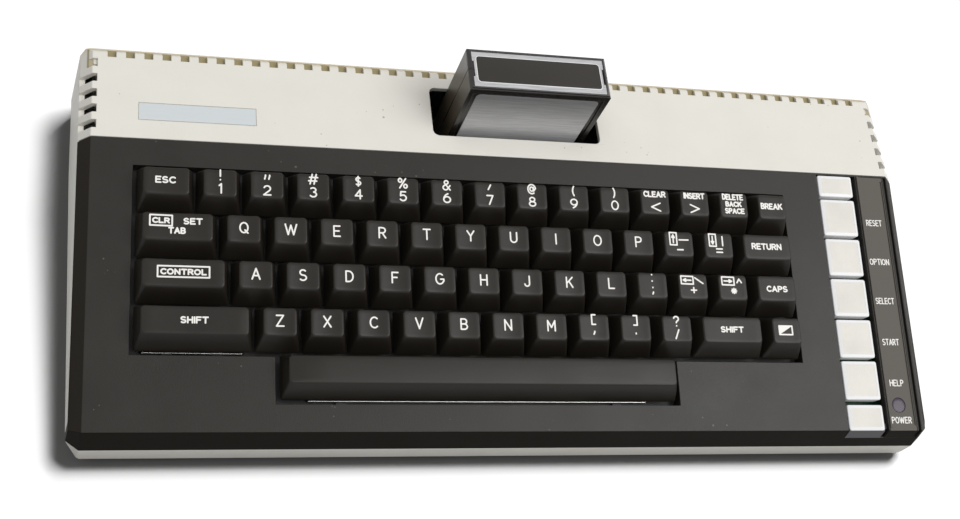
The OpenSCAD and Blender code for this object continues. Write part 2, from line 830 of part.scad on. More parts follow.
module cartridge_label() {
  w = cart_w / 2;
  t = cart_t / 2;
  color([0.7, 0.7, 0.72]) translate([cart_x, cart_y, 0]) {
    difference() {
      box([-w + 2, -t + 1.6, cart_top - 0.8], [w - 2, t - 1.6, cart_top - 0.3]);
      for (s = [-1, 1]) box([s * (w - 2) - 0.8, -3, cart_top - 1], [s * (w - 2) + 0.8, 3, cart_top]);
    }
    box([-w + 4, -t + 0.4, cart_low + 14], [w - 4, -t + 0.7, cart_top - 5]);
  }
}

// ======== electronics ========

module motherboard() {
  color([0.1, 0.32, 0.16]) {
    difference() {
      union() {
        box([-152, board_front, board_z], [152, board_rear - 3, board_top]);
        box([150, board_front, board_z], [181, 72, board_top]);
        box([-expansion_wide / 2 + 3, 70, board_z], [expansion_wide / 2 - 3, 83.5, board_top]);
      }
      for (p = POSTS) translate([p[0], p[1], board_z - 1]) cylinder(h = 4, r = 1.6, $fn = 24);
    }
    // socket of the keyboard's flat cable
    box([-152, 22, board_top - eps], [-139, 26, board_top + 5]);
    // power regulator on its heat sink, and tall capacitors
    box([128, 30, board_top], [129.6, 60, board_top + 12]);
    box([122, 38, board_top], [128, 48, board_top + 11]);
    for (p = [[114.5, 50], [144, 40], [-132, 62], [-144, 62]])
      translate([p[0], p[1], board_top]) cylinder(h = 12, r = 5);
  }
}

// A dual in-line chip: body, pin-one notch and two rows of legs
module chip(x, y, pins, wide) {
  len = pins / 2 * 2.54;
  translate([x, y, board_top]) {
    difference() {
      box([-len / 2, -wide / 2 + 1, 0.6], [len / 2, wide / 2 - 1, 4]);
      translate([-len / 2, 0, 3]) cylinder(h = 2, r = 1.2, $fn = 16);
    }
    for (s = [-1, 1])
      box([-len / 2 + 1, s * (wide / 2 - 0.9) - 0.15, 0], [len / 2 - 1, s * (wide / 2 - 0.9) + 0.15, 2]);
  }
}

module board_chips() {
  color([0.1, 0.1, 0.1]) {
    for (x = [-105, -45, 15, 75]) chip(x, 16, 40, 16);
    for (x = [-112, -80, 66, 98]) chip(x, 36, 24, 10);
    for (x = [-52, -26, 0, 26]) chip(x, 36, 16, 8);
  }
}

module rf_shield() {
  color("lightsteelblue") difference() {
    box([-138, 4, board_top], [118, 43.5, shield_z]);
    box([-137.4, 4.6, board_top - 1], [117.4, 42.9, shield_z - 0.6]);
    for (x = [-120:16:104], y = [14, 30])
      translate([x, y, shield_z - 2]) cylinder(h = 4, r = 2.5, $fn = 24);
  }
}

module cartridge_connector() {
  color([0.15, 0.15, 0.16]) translate([cart_x, cart_y, 0]) {
    difference() {
      box([-25, -4, board_top], [25, 4, 31]);
      box([-22.3, -0.9, 21.5], [22.3, 0.9, 32]);
    }
  }
}

module rf_modulator() {
  color("silver") difference() {
    union() {
      box([tv_x - 24, 50, board_top], [tv_x + 24, can_rear, 36]);
      translate([tv_x + 12, can_rear - 1, port_z]) rotate([-90, 0, 0]) cylinder(h = 9.4, r = 4.15);
      translate([tv_x + 12, can_rear - 0.5, port_z]) rotate([-90, 0, 0]) cylinder(h = 1.5, r = 5.6);
      box([tv_x - 20, can_rear - 1, port_z - 3.4], [tv_x - 6, 79.6, port_z + 3.4]);
    }
    translate([tv_x + 12, can_rear + 0.4, port_z]) rotate([-90, 0, 0]) cylinder(h = 20, r = 1.6);
    box([tv_x - 18, 77.4, port_z - 2], [tv_x - 8, 90, port_z + 2]);
  }
}

module channel_slider() {
  color([0.1, 0.1, 0.1]) {
    box([tv_x - 17.8, 77.5, port_z - 1.8], [tv_x - 13.2, 79, port_z + 1.8]);
    box([tv_x - 17, 78, port_z - 1.2], [tv_x - 14, 84.4, port_z + 1.2]);
  }
}

// Height of the keyboard's underside at y
function under_z(y) = kb_z + (y - kb_y) * tan(slope) + circuit_low / cos(slope);

module ribbon_cable() {
  t = 0.7;
  y = 24;
  low = board_top + 5;
  color([0.75, 0.75, 0.7])
    across([[y, low], [y, low + 2.5], [y + 3, low + 5], [y + 3, under_z(y + 3)],
            [y + 3 + t, under_z(y + 3 + t)], [y + 3 + t, low + 4.7], [y + t, low + 2.2],
            [y + t, low]], -150, -141);
}

module d_outline(w, h, cut) {
  polygon([[-w / 2 + cut, -h / 2], [w / 2 - cut, -h / 2], [w / 2, h / 2], [-w / 2, h / 2]]);
}

// Nine-way D socket facing +x
module controller_port(y) {
  translate([0, y, port_z]) {
    box([168, -15.4, -6.9], [176.5, 15.4, 6.3]);
    rotate([90, 0, 90]) translate([0, 0, 176]) linear_extrude(port_face_x - 176) difference() {
      d_outline(17.4, 8.8, 1.4);
      d_outline(16.4, 7.8, 1.3);
    }
    for (i = [0:4]) translate([174, (i - 2) * 2.77, 1.42]) rotate([0, 90, 0])
      cylinder(h = 8, r = 0.5, $fn = 16);
    for (i = [0:3]) translate([174, (i - 1.5) * 2.77, -1.42]) rotate([0, 90, 0])
      cylinder(h = 8, r = 0.5, $fn = 16);
  }
}

module controller_ports() {
  color([0.12, 0.12, 0.13]) for (y = PORT_Y) controller_port(y);
}

module peripheral_port() {
  color([0.12, 0.12, 0.13]) translate([peripheral_x, 0, port_z]) {
    box([-17.4, 62, -6.9], [17.4, 72, 6.4]);
    translate([0, 80, 0]) rotate([90, 0, 0]) linear_extrude(8.5) difference() {
      d_outline(30, 11.4, 3);
      d_outline(28, 9.6, 2.7);
    }
    for (i = [0:6]) translate([(i - 3) * 3.2, 71, 2]) rotate([-90, 0, 0])
      cylinder(h = 7.5, r = 0.6, $fn = 16);
    for (i = [0:5]) translate([(i - 2.5) * 3.2, 71, -2]) rotate([-90, 0, 0])
      cylinder(h = 7.5, r = 0.6, $fn = 16);
  }
}

module power_jack() {
  color([0.12, 0.12, 0.13]) difference() {
    union() {
      box([jack_x - 10, 64, board_top], [jack_x + 10, 79, port_z + 9.5]);
      translate([jack_x, 78, port_z]) rotate([-90, 0, 0]) cylinder(h = 7.2, r = 8.9);
    }
    translate([jack_x, 77, port_z]) rotate([-90, 0, 0]) cylinder(h = 12, r = 6.8);
    for (a = [45:45:315]) translate([jack_x, 72, port_z]) rotate([0, a + 90, 0])
      translate([4, 0, 0]) rotate([-90, 0, 0]) cylinder(h = 6, r = 0.7, $fn = 16);
  }
}

module power_switch() {
  color([0.12, 0.12, 0.12]) difference() {
    box([switch_x - 11, 62, board_top], [switch_x + 11, 84.6, port_z + 6.2]);
    box([switch_x - 9.6, 70, port_z - 5], [switch_x + 9.6, 90, port_z + 5]);
    translate([switch_x, rocker_y, port_z - 7]) cylinder(h = 13.5, r = 1.26);
  }
}

// Rocker with two flat faces, drawn switched off
module power_rocker() {
  color([0.08, 0.08, 0.08]) translate([switch_x, rocker_y, port_z]) rotate([0, 0, -7]) {
    translate([0, 0, -4.7]) linear_extrude(9.4)
      polygon([[-8.8, -1.5], [8.8, -1.5], [8.8, 4.2], [0, 5.2], [-8.8, 4.2]]);
    translate([0, 0, -5.9]) cylinder(h = 11.8, r = 1.2);
  }
}

// ======== feet and fasteners ========

module feet() {
  color([0.15, 0.15, 0.15]) for (f = FEET) translate([f[0], f[1], 0]) {
    cylinder(h = 1, r1 = 6.2, r2 = 7);
    translate([0, 0, 1]) cylinder(h = base_z, r = 7);
  }
}

module case_screws() {
  color("gray") for (b = BOSSES) translate([b[0], b[1], base_z + 4]) {
    difference() {
      translate([0, 0, -2]) cylinder(h = 2, r = 2.6);
      translate([-2, -0.35, -3]) cube([4, 0.7, 1.8]);
      translate([-0.35, -2, -3]) cube([0.7, 4, 1.8]);
    }
    translate([0, 0, -1]) cylinder(h = 10, r = 1.2);
  }
}

// ======== nodes ========

// Puts a node where it belongs when the origin is the centre of the footprint
module placed() {
  translate([0, -centre_y, 0]) children();
}

placed() top_case();
placed() keyboard_bezel();
placed() bottom_case();
placed() nameplate();
placed() label_panel();
placed() strip_fillers();
placed() power_led();
placed() console_button(0);  // button_reset
placed() console_button(1);  // button_option
placed() console_button(2);  // button_select
placed() console_button(3);  // button_start
placed() console_button(4);  // button_help
placed() console_board();
placed() key_frame();
placed() dome_sheet();
placed() key_circuit();
placed() balance_wire(4, 0);  // space_wire
placed() balance_wire(3, 0);  // shift_wire
placed() dark_key(0, 0);  // key_esc
placed() dark_key(1, 0);  // key_tab
placed() dark_key(2, 0);  // key_control
placed() dark_key(3, 0);  // key_shift_left
placed() dark_key(4, 0);  // key_space
placed() dark_key(1, 13);  // key_return
placed() dark_key(2, 13);  // key_caps
placed() dark_key(3, 11);  // key_shift_right
placed() dark_key(3, 12);  // key_inverse
placed() dark_key(0, 14);  // key_break
placed() key_column(1);  // keys_col_1
placed() key_column(2);  // keys_col_2
placed() key_column(3);  // keys_col_3
placed() key_column(4);  // keys_col_4
placed() key_column(5);  // keys_col_5
placed() key_column(6);  // keys_col_6
placed() key_column(7);  // keys_col_7
placed() key_column(8);  // keys_col_8
placed() key_column(9);  // keys_col_9
placed() key_column(10);  // keys_col_10
placed() right_hand_keys();  // keys_col_11
placed() slot_well();
placed() slot_door_front();
placed() slot_door_rear();
placed() cartridge_front_shell();
placed() cartridge_back_shell();
placed() cartridge_board();
placed() cartridge_label();
placed() motherboard();
placed() board_chips();
placed() rf_shield();
placed() cartridge_connector();
placed() rf_modulator();
placed() ribbon_cable();
placed() controller_ports();
placed() peripheral_port();
placed() power_jack();
placed() power_switch();
placed() power_rocker();
placed() channel_slider();
placed() feet();
placed() case_screws();
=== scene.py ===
import json
import math

import bmesh
import bpy
from bpy.props import FloatProperty, FloatVectorProperty, PointerProperty
from mathutils import Euler, Matrix, Vector


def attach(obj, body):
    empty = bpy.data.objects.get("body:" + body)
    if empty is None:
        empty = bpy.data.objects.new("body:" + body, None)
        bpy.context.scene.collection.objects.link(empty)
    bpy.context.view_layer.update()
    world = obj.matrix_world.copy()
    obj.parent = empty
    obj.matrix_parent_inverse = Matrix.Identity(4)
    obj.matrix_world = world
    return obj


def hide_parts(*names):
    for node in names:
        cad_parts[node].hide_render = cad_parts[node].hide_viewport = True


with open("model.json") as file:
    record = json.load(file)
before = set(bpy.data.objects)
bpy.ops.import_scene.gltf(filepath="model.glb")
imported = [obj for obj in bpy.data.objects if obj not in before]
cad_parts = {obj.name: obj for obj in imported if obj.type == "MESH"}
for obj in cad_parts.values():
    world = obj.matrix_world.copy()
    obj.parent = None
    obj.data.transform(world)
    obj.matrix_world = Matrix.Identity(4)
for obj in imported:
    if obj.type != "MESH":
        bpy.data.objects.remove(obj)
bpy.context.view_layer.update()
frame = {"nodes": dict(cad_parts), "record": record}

bl_info = {
    "name": "Home Computer Dressing",
    "version": (1, 0, 0),
    "blender": (4, 5, 0),
    "location": "View3D > Sidebar > Computer",
    "description": "Key caps, legends, plates, sockets and finishes of a home computer",
    "category": "Object",
}

MM = 0.001
NODES = frame["nodes"]
SLOTS = {part["node"]: part["material_slot"] for part in frame["record"]["subparts"]}
PART = Matrix.Scale(MM, 4)

# All sizes are in millimetres. On the sloping deck: across, up the slope, off the deck
SLOPE = math.radians(10.74)
DECK_Y, DECK_Z, DECK_HALF = -51.134, 33.229, 182.7
DECK = Matrix.Translation(Vector((0, DECK_Y, DECK_Z)) * MM) @ Matrix.Rotation(SLOPE, 4, "X") @ PART

# The level deck behind it, its shallow rear notches and the slots at its sides
BREAK_Y, LEVEL_DECK_Z = 37.289, 50.0
LEDGE_Y, LEDGE_Z = 71.2, 48.2
SLOT_Y, SLOT_PITCH, SLOT_WIDER = BREAK_Y + 5.1, 7.5, 1.1
SLOT_DEPTHS = (6.0, 6.0, 6.0, 6.0, 1.6)

# The keys: their pitch, how far the tops lie up the slope from the skirts, and their rows,
# where each key has its node and its width in key pitches
KEY_PITCH = 19.05
KEY_LEAN = 1.8
FIRST_ROW_S = 67.675
ROW_X0 = (-164.6, -164.6, -164.6, -164.6, -106.9)
COLUMNS = [(f"keys_col_{i}", 1) for i in range(1, 11)]
LAST = [("keys_col_11", 1)]
ROWS = (
    [("key_esc", 1.25)] + COLUMNS + LAST * 3 + [("key_break", 1)],
    [("key_tab", 1.75)] + COLUMNS + LAST * 2 + [("key_return", 1.5)],
    [("key_control", 2)] + COLUMNS + LAST * 2 + [("key_caps", 1.25)],
    [("key_shift_left", 2.5)] + COLUMNS + [("key_shift_right", 1.75), ("key_inverse", 1)],
    [("key_space", 9)],
)

# The console strip: its buttons, fillers, front tab, lamp, and the words with place and width
BUTTON_X = 155.0
BUTTON_S = [68.25 - KEY_PITCH * i for i in range(5)]
BUTTONS = ("button_reset", "button_option", "button_select", "button_start", "button_help")
FILLERS = ((-30.4, -19.0), (78.5, 88.7))
NOSE_Y, NOSE_Z = -81.1, 27.5
TAB_Y, TAB_Z = -82.4, 21.9
LAMP_X, LAMP_S = 172.4, -19.0
WORD_X = 172.8
WORDS = (("RESET", 66.4, 8.2), ("OPTION", 47.6, 10.2), ("SELECT", 29.0, 9.6), ("START", 9.8, 8.5),
         ("HELP", -9.0, 7.1), ("POWER", -25.8, 10.1))

# The cartridge: middle, width, thickness and top
CART_X, CART_Y = 1.8, 59.989
CART_W, CART_T, CART_TOP = 63.2, 20.6, 83.0
CARTRIDGE = PART @ Matrix.Translation((CART_X, CART_Y, 0))


# ======== settings ========

def number(name, description, default, **more):
    """A setting that holds a number."""
    return FloatProperty(name=name, description=description, default=default, **more)


def shade(name, description, default):
    """A setting that holds a colour."""
    return FloatVectorProperty(
        name=name, description=description, default=default, size=3, subtype="COLOR")


class KeySettings(bpy.types.PropertyGroup):
    """Sizes and colours of the sculpted keys, in millimetres on the part"""
    gap: number("Gap", "Gap between neighbouring skirts", 0.9)
    top: number("Top height", "Height of the tops above the deck", 8.0)
    side_draft: number("Side draft", "How far each side leans in", 2.45)
    top_depth: number("Top depth", "Depth of a key's top", 11.2)
    dish: number("Dish", "Depth of the hollow in a top", 0.5)
    edge: number("Edge", "Radius round the edge of a top", 0.55)
    corner: number("Corner", "Corner radius of a skirt", 1.1)
    top_corner: number("Top corner", "Corner radius of a top", 1.7)
    skin: number("Skin", "Thickness of a cap's wall", 1.3)
    stroke: number("Stroke", "Width of a printed stroke", 0.66)
    colour: shade("Key colour", "Plastic of the caps", (0.0135, 0.0112, 0.0085))
    sign_colour: shade("Sign colour", "Plastic of the signs", (0.82, 0.80, 0.76))


class CaseSettings(bpy.types.PropertyGroup):
    """Finish of the case"""
    cream: shade("Cream", "Plastic of the case", (0.72, 0.70, 0.64))
    aged: shade("Aged cream", "Cream where the sun has yellowed it", (0.62, 0.50, 0.29))
    brown: shade("Brown", "Plastic of the keyboard surround", (0.0205, 0.0188, 0.0158))
    soft_edge: number("Soft edge", "Radius of the moulded edges, in millimetres", 0.35)


class ConsoleSettings(bpy.types.PropertyGroup):
    """Sizes and colours of the console strip, in millimetres on the part"""
    width: number("Width", "Width of a button", 17.6)
    length: number("Length", "Length of a button", 17.4)
    proud: number("Proud", "Height above the deck", 0.5)
    border: number("Border", "Width of the polished border", 1.05)
    silver: shade("Silver", "Colour of the buttons", (0.83, 0.83, 0.835))
    word_height: number("Word height", "Height of the words", 3.0)
    word_stroke: number("Word stroke", "Width of a word's strokes", 0.42)


class CartridgeSettings(bpy.types.PropertyGroup):
    """Finish of the cartridge"""
    black: shade("Shell", "Plastic of the shell", (0.016, 0.0135, 0.012))
    foil: shade("Foil", "Brushed foil of the labels", (0.60, 0.60, 0.61))


class StageSettings(bpy.types.PropertyGroup):
    """Camera and light"""
    lens: number("Lens", "Focal length", 52.336, unit="CAMERA")
    main_power: number("Main light", "Power of the main light, in watts", 70.0)
    fill_power: number("Fill light", "Power of the light from above, in watts", 34.0)
    table_power: number("Table light", "Power of the light on the table top, in watts", 425.0)
    sky: number("Sky", "Strength of the light from all round", 0.30)
    floor: shade("Floor", "Colour of the table top", (0.25, 0.25, 0.25))
    floor_bounce: shade(
        "Floor bounce", "Colour that the table top throws onto the part", (0.085, 0.085, 0.085))


# ======== node helpers ========

WHITE = (1, 1, 1, 1)


def feed(tree, node, inputs):
    """Links each input that is given a socket, and fills the others with their values."""
    for name, value in inputs.items():
        if isinstance(value, bpy.types.NodeSocket):
            tree.links.new(value, node.inputs[name])
        else:
            node.inputs[name].default_value = value


def add(tree, kind, inputs, **settings):
    """Adds a node, sets its fields and feeds its inputs. Returns its outputs."""
    made = tree.nodes.new(kind)
    for field, value in settings.items():
        setattr(made, field, value)
    feed(tree, made, inputs)
    return made.outputs


def mixed(tree, factor, first, second, blend="MIX"):
    """The colour that lies between two colours."""
    return add(tree, "ShaderNodeMix", {0: factor, 6: first, 7: second},
               data_type="RGBA", blend_type=blend)[2]


def ranged(tree, value, low, high, to_low=0.0, to_high=1.0, **settings):
    """A value stretched from one range onto another and held inside it."""
    return add(tree, "ShaderNodeMapRange", {
        "Value": value, "From Min": low, "From Max": high, "To Min": to_low, "To Max": to_high,
    }, **settings)["Result"]


def worked_out(tree, operation, *values):
    """The result of one step of arithmetic."""
    return add(tree, "ShaderNodeMath", dict(enumerate(values)), operation=operation)[0]


def cloudy(tree, at, scale, detail, roughness=0.5):
    """Soft noise of a given scale."""
    return add(tree, "ShaderNodeTexNoise", {
        "Vector": at, "Scale": scale, "Detail": detail, "Roughness": roughness})["Fac"]


def split(tree, vector):
    """The three parts of a vector."""
    return add(tree, "ShaderNodeSeparateXYZ", {"Vector": vector})


def bumps(tree, height, distance):
    """A normal that follows a height."""
    return add(tree, "ShaderNodeBump", {"Height": height, "Distance": distance})["Normal"]


def rgba(colour, factor=1.0):
    """A colour with its alpha, made lighter or darker."""
    return (colour[0] * factor, colour[1] * factor, colour[2] * factor, 1.0)


# ======== effects ========

def effect(name, inputs, outputs):
    """An empty shader group that takes a vector and the numbers and colours named."""
    tree = bpy.data.node_groups.new(name, "ShaderNodeTree")
    tree.interface.new_socket("Vector", in_out="INPUT", socket_type="NodeSocketVector")
    for label, default in inputs.items():
        kind = "NodeSocketColor" if isinstance(default, tuple) else "NodeSocketFloat"
        socket = tree.interface.new_socket(label, in_out="INPUT", socket_type=kind)
        socket.default_value = default
    for label in outputs:
        kind = "NodeSocketColor" if label == "Colour" else "NodeSocketFloat"
        tree.interface.new_socket(label, in_out="OUTPUT", socket_type=kind)
    return tree, add(tree, "NodeGroupInput", {}), tree.nodes.new("NodeGroupOutput")


def grain_effect():
    """Fine moulded texture: a height for bump and a faint mottling of the colour."""
    tree, given, out = effect("Moulded Grain", {"Grain Size": 2600.0}, ("Height", "Mottle"))
    at, size = given["Vector"], given["Grain Size"]
    cells = add(tree, "ShaderNodeTexVoronoi", {"Vector": at, "Scale": size}, feature="SMOOTH_F1")
    feed(tree, out, {
        "Height": worked_out(
            tree, "MULTIPLY_ADD", cells["Distance"], 0.6, cloudy(tree, at, size, 2.0, 0.6)),
        "Mottle": ranged(tree, cloudy(tree, at, 38.0, 5.0, 0.62), 0.3, 0.7)})
    return tree


def ageing_effect():
    """Yellowing that gathers along one direction, with an uneven border."""
    tree, given, out = effect("Sun Ageing", {
        "Colour": WHITE, "Aged Colour": WHITE, "Start": 0.06, "End": 0.09, "Strength": 1.0},
        ("Colour",))
    along = split(tree, given["Vector"])["Y"]
    wander = worked_out(
        tree, "MULTIPLY_ADD", cloudy(tree, given["Vector"], 45.0, 4.0), 0.004, along)
    how_far = ranged(
        tree, wander, given["Start"], given["End"], interpolation_type="SMOOTHSTEP")
    share = worked_out(tree, "MULTIPLY", how_far, given["Strength"])
    feed(tree, out, {"Colour": mixed(tree, share, given["Colour"], given["Aged Colour"])})
    return tree


def ledge_effect():
    """Dust that lies on the floors of the shallow notches, all at one level."""
    tree, given, out = effect("Dusty Ledges", {
        "Colour": WHITE, "Dust Colour": WHITE, "Level": LEDGE_Z * MM, "Front": LEDGE_Y * MM},
        ("Colour",))
    at = split(tree, given["Vector"])
    away = worked_out(tree, "ABSOLUTE", worked_out(tree, "SUBTRACT", at["Z"], given["Level"]))
    behind = worked_out(tree, "GREATER_THAN", at["Y"], given["Front"])
    share = worked_out(tree, "MULTIPLY", ranged(tree, away, 0.0001, 0.0006, 1.0, 0.0), behind)
    feed(tree, out, {"Colour": mixed(tree, share, given["Colour"], given["Dust Colour"])})
    return tree


def speck_effect():
    """Small flecks of dirt caught in the grain, gathered in places."""
    tree, given, out = effect("Dirt Specks", {
        "Colour": WHITE, "Speck Colour": (0.1, 0.08, 0.06, 1), "Spacing": 260.0, "Amount": 0.5},
        ("Colour",))
    spots = add(tree, "ShaderNodeTexVoronoi", {
        "Vector": given["Vector"], "Scale": given["Spacing"]})
    size = ranged(tree, cloudy(tree, given["Vector"], 60.0, 3.0), 0.5, 0.72, 0.0, 0.14)
    near = worked_out(tree, "LESS_THAN", spots["Distance"], size)
    share = worked_out(tree, "MULTIPLY", near, given["Amount"])
    feed(tree, out, {"Colour": mixed(tree, share, given["Colour"], given["Speck Colour"])})
    return tree


def brushed_effect():
    """Fine parallel streaks, as on brushed foil: the streaks follow the X direction."""
    tree, given, out = effect("Brushed Streaks", {
        "Colour": WHITE, "Dark Colour": (0, 0, 0, 1), "Fineness": 1.0}, ("Colour", "Height"))
    stretched = add(tree, "ShaderNodeMapping", {
        "Vector": given["Vector"], "Scale": (60.0, 3200.0, 3200.0)})
    streaks = cloudy(tree, stretched["Vector"], given["Fineness"], 3.0, 0.65)
    share = ranged(tree, streaks, 0.34, 0.66)
    feed(tree, out, {
        "Colour": mixed(tree, share, given["Dark Colour"], given["Colour"]), "Height": streaks})
    return tree


# ======== finishes ========

EFFECTS = {}
FINISHES = {}


def new_material(name):
    """An empty material with its tree, its Principled shader and its Object coordinates."""
    made = bpy.data.materials.new(name)
    made.use_nodes = True
    tree = made.node_tree
    return made, tree, tree.nodes["Principled BSDF"], add(tree, "ShaderNodeTexCoord", {})["Object"]


def grouped(tree, name, at, inputs):
    """Puts a shared effect into a material. Returns its outputs."""
    return add(tree, "ShaderNodeGroup", {"Vector": at, **inputs}, node_tree=EFFECTS[name])


def plastic(name, colour, rough=0.5, grain=2600.0, depth=0.00003, mottle=0.06,
            specks=0.0, speck_colour=(0.1, 0.08, 0.06), specular=0.5, ageing=None, dust=None):
    """Moulded plastic: grain and mottling, and if asked for, yellowing, dust and flecks."""
    made, tree, shader, at = new_material(name)
    skin = grouped(tree, "grain", at, {"Grain Size": grain})
    light = mixed(tree, skin["Mottle"], rgba(colour, 1 - mottle), rgba(colour, 1 + mottle))
    if ageing:
        aged, start, end, strength = ageing
        light = grouped(tree, "ageing", at, {
            "Colour": light, "Aged Colour": rgba(aged), "Start": start, "End": end,
            "Strength": strength})["Colour"]
    if dust:
        light = grouped(tree, "ledges", at, {
            "Colour": light, "Dust Colour": rgba(dust), "Level": LEDGE_Z * MM,
            "Front": LEDGE_Y * MM})["Colour"]
    if specks:
        light = grouped(tree, "specks", at, {
            "Colour": light, "Speck Colour": rgba(speck_colour), "Amount": specks})["Colour"]
    feed(tree, shader, {
        "Base Color": light, "Specular IOR Level": specular,
        "Roughness": ranged(tree, skin["Mottle"], 0.0, 1.0, rough - 0.05, rough + 0.05),
        "Normal": bumps(tree, skin["Height"], depth)})
    return made


def metal(name, colour, dark, rough=0.35, fineness=1.0, depth=0.000012, metallic=1.0, painted_shade_band=None):
    """Brushed or rolled metal with streaks along X. It may be made darker between two heights,
    towards the higher one, as painted shade.
    """
    made, tree, shader, at = new_material(name)
    skin = grouped(tree, "brushed", at, {
        "Colour": rgba(colour), "Dark Colour": rgba(dark), "Fineness": fineness})
    base = skin["Colour"]
    # Painted shade: the colour is multiplied darker from the lower height to the higher one.
    if painted_shade_band:
        low, high, painted_shade_colour = painted_shade_band
        share = ranged(tree, split(tree, at)["Z"], low, high)
        base = mixed(tree, share, base, rgba(painted_shade_colour), "MULTIPLY")
    feed(tree, shader, {
        "Base Color": base, "Metallic": metallic,
        "Roughness": ranged(tree, skin["Height"], 0.3, 0.7, rough + 0.08, rough - 0.04),
        "Normal": bumps(tree, skin["Height"], depth)})
    return made


def board_material():
    """Lacquered board: green with the faint pattern of tracks under the lacquer."""
    made, tree, shader, at = new_material("board_green")
    tracks = add(tree, "ShaderNodeTexBrick", {
        "Vector": at, "Scale": 160.0, "Color1": (0.016, 0.085, 0.03, 1),
        "Color2": (0.02, 0.105, 0.04, 1), "Mortar": (0.008, 0.05, 0.018, 1),
        "Mortar Size": 0.09})
    skin = grouped(tree, "grain", at, {"Grain Size": 900.0})
    feed(tree, shader, {
        "Base Color": tracks["Color"],
        "Roughness": ranged(tree, skin["Mottle"], 0.0, 1.0, 0.22, 0.36),
        "Normal": bumps(tree, tracks["Fac"], -0.00002)})
    return made


def lens_material():
    """Lens of the unlit lamp: clouded and dark purple."""
    made, tree, shader, at = new_material("led_purple")
    cloud = cloudy(tree, at, 700.0, 2.0)
    feed(tree, shader, {
        "Base Color": mixed(tree, cloud, (0.038, 0.030, 0.050, 1), (0.066, 0.042, 0.068, 1)),
        "Roughness": ranged(tree, cloud, 0.3, 0.7, 0.20, 0.30),
        "Specular IOR Level": 0.3, "Normal": bumps(tree, cloud, 0.00001)})
    return made


def ribbon_material():
    """Grey flat cable with a line between its conductors."""
    made, tree, shader, at = new_material("ribbon_grey")
    lines = add(tree, "ShaderNodeTexWave", {"Vector": at, "Scale": 250.0}, bands_direction="X")
    feed(tree, shader, {
        "Base Color": mixed(tree, lines["Fac"], (0.27, 0.26, 0.25, 1), (0.44, 0.43, 0.41, 1)),
        "Roughness": ranged(tree, lines["Fac"], 0.0, 1.0, 0.55, 0.42),
        "Normal": bumps(tree, lines["Fac"], 0.0001)})
    return made


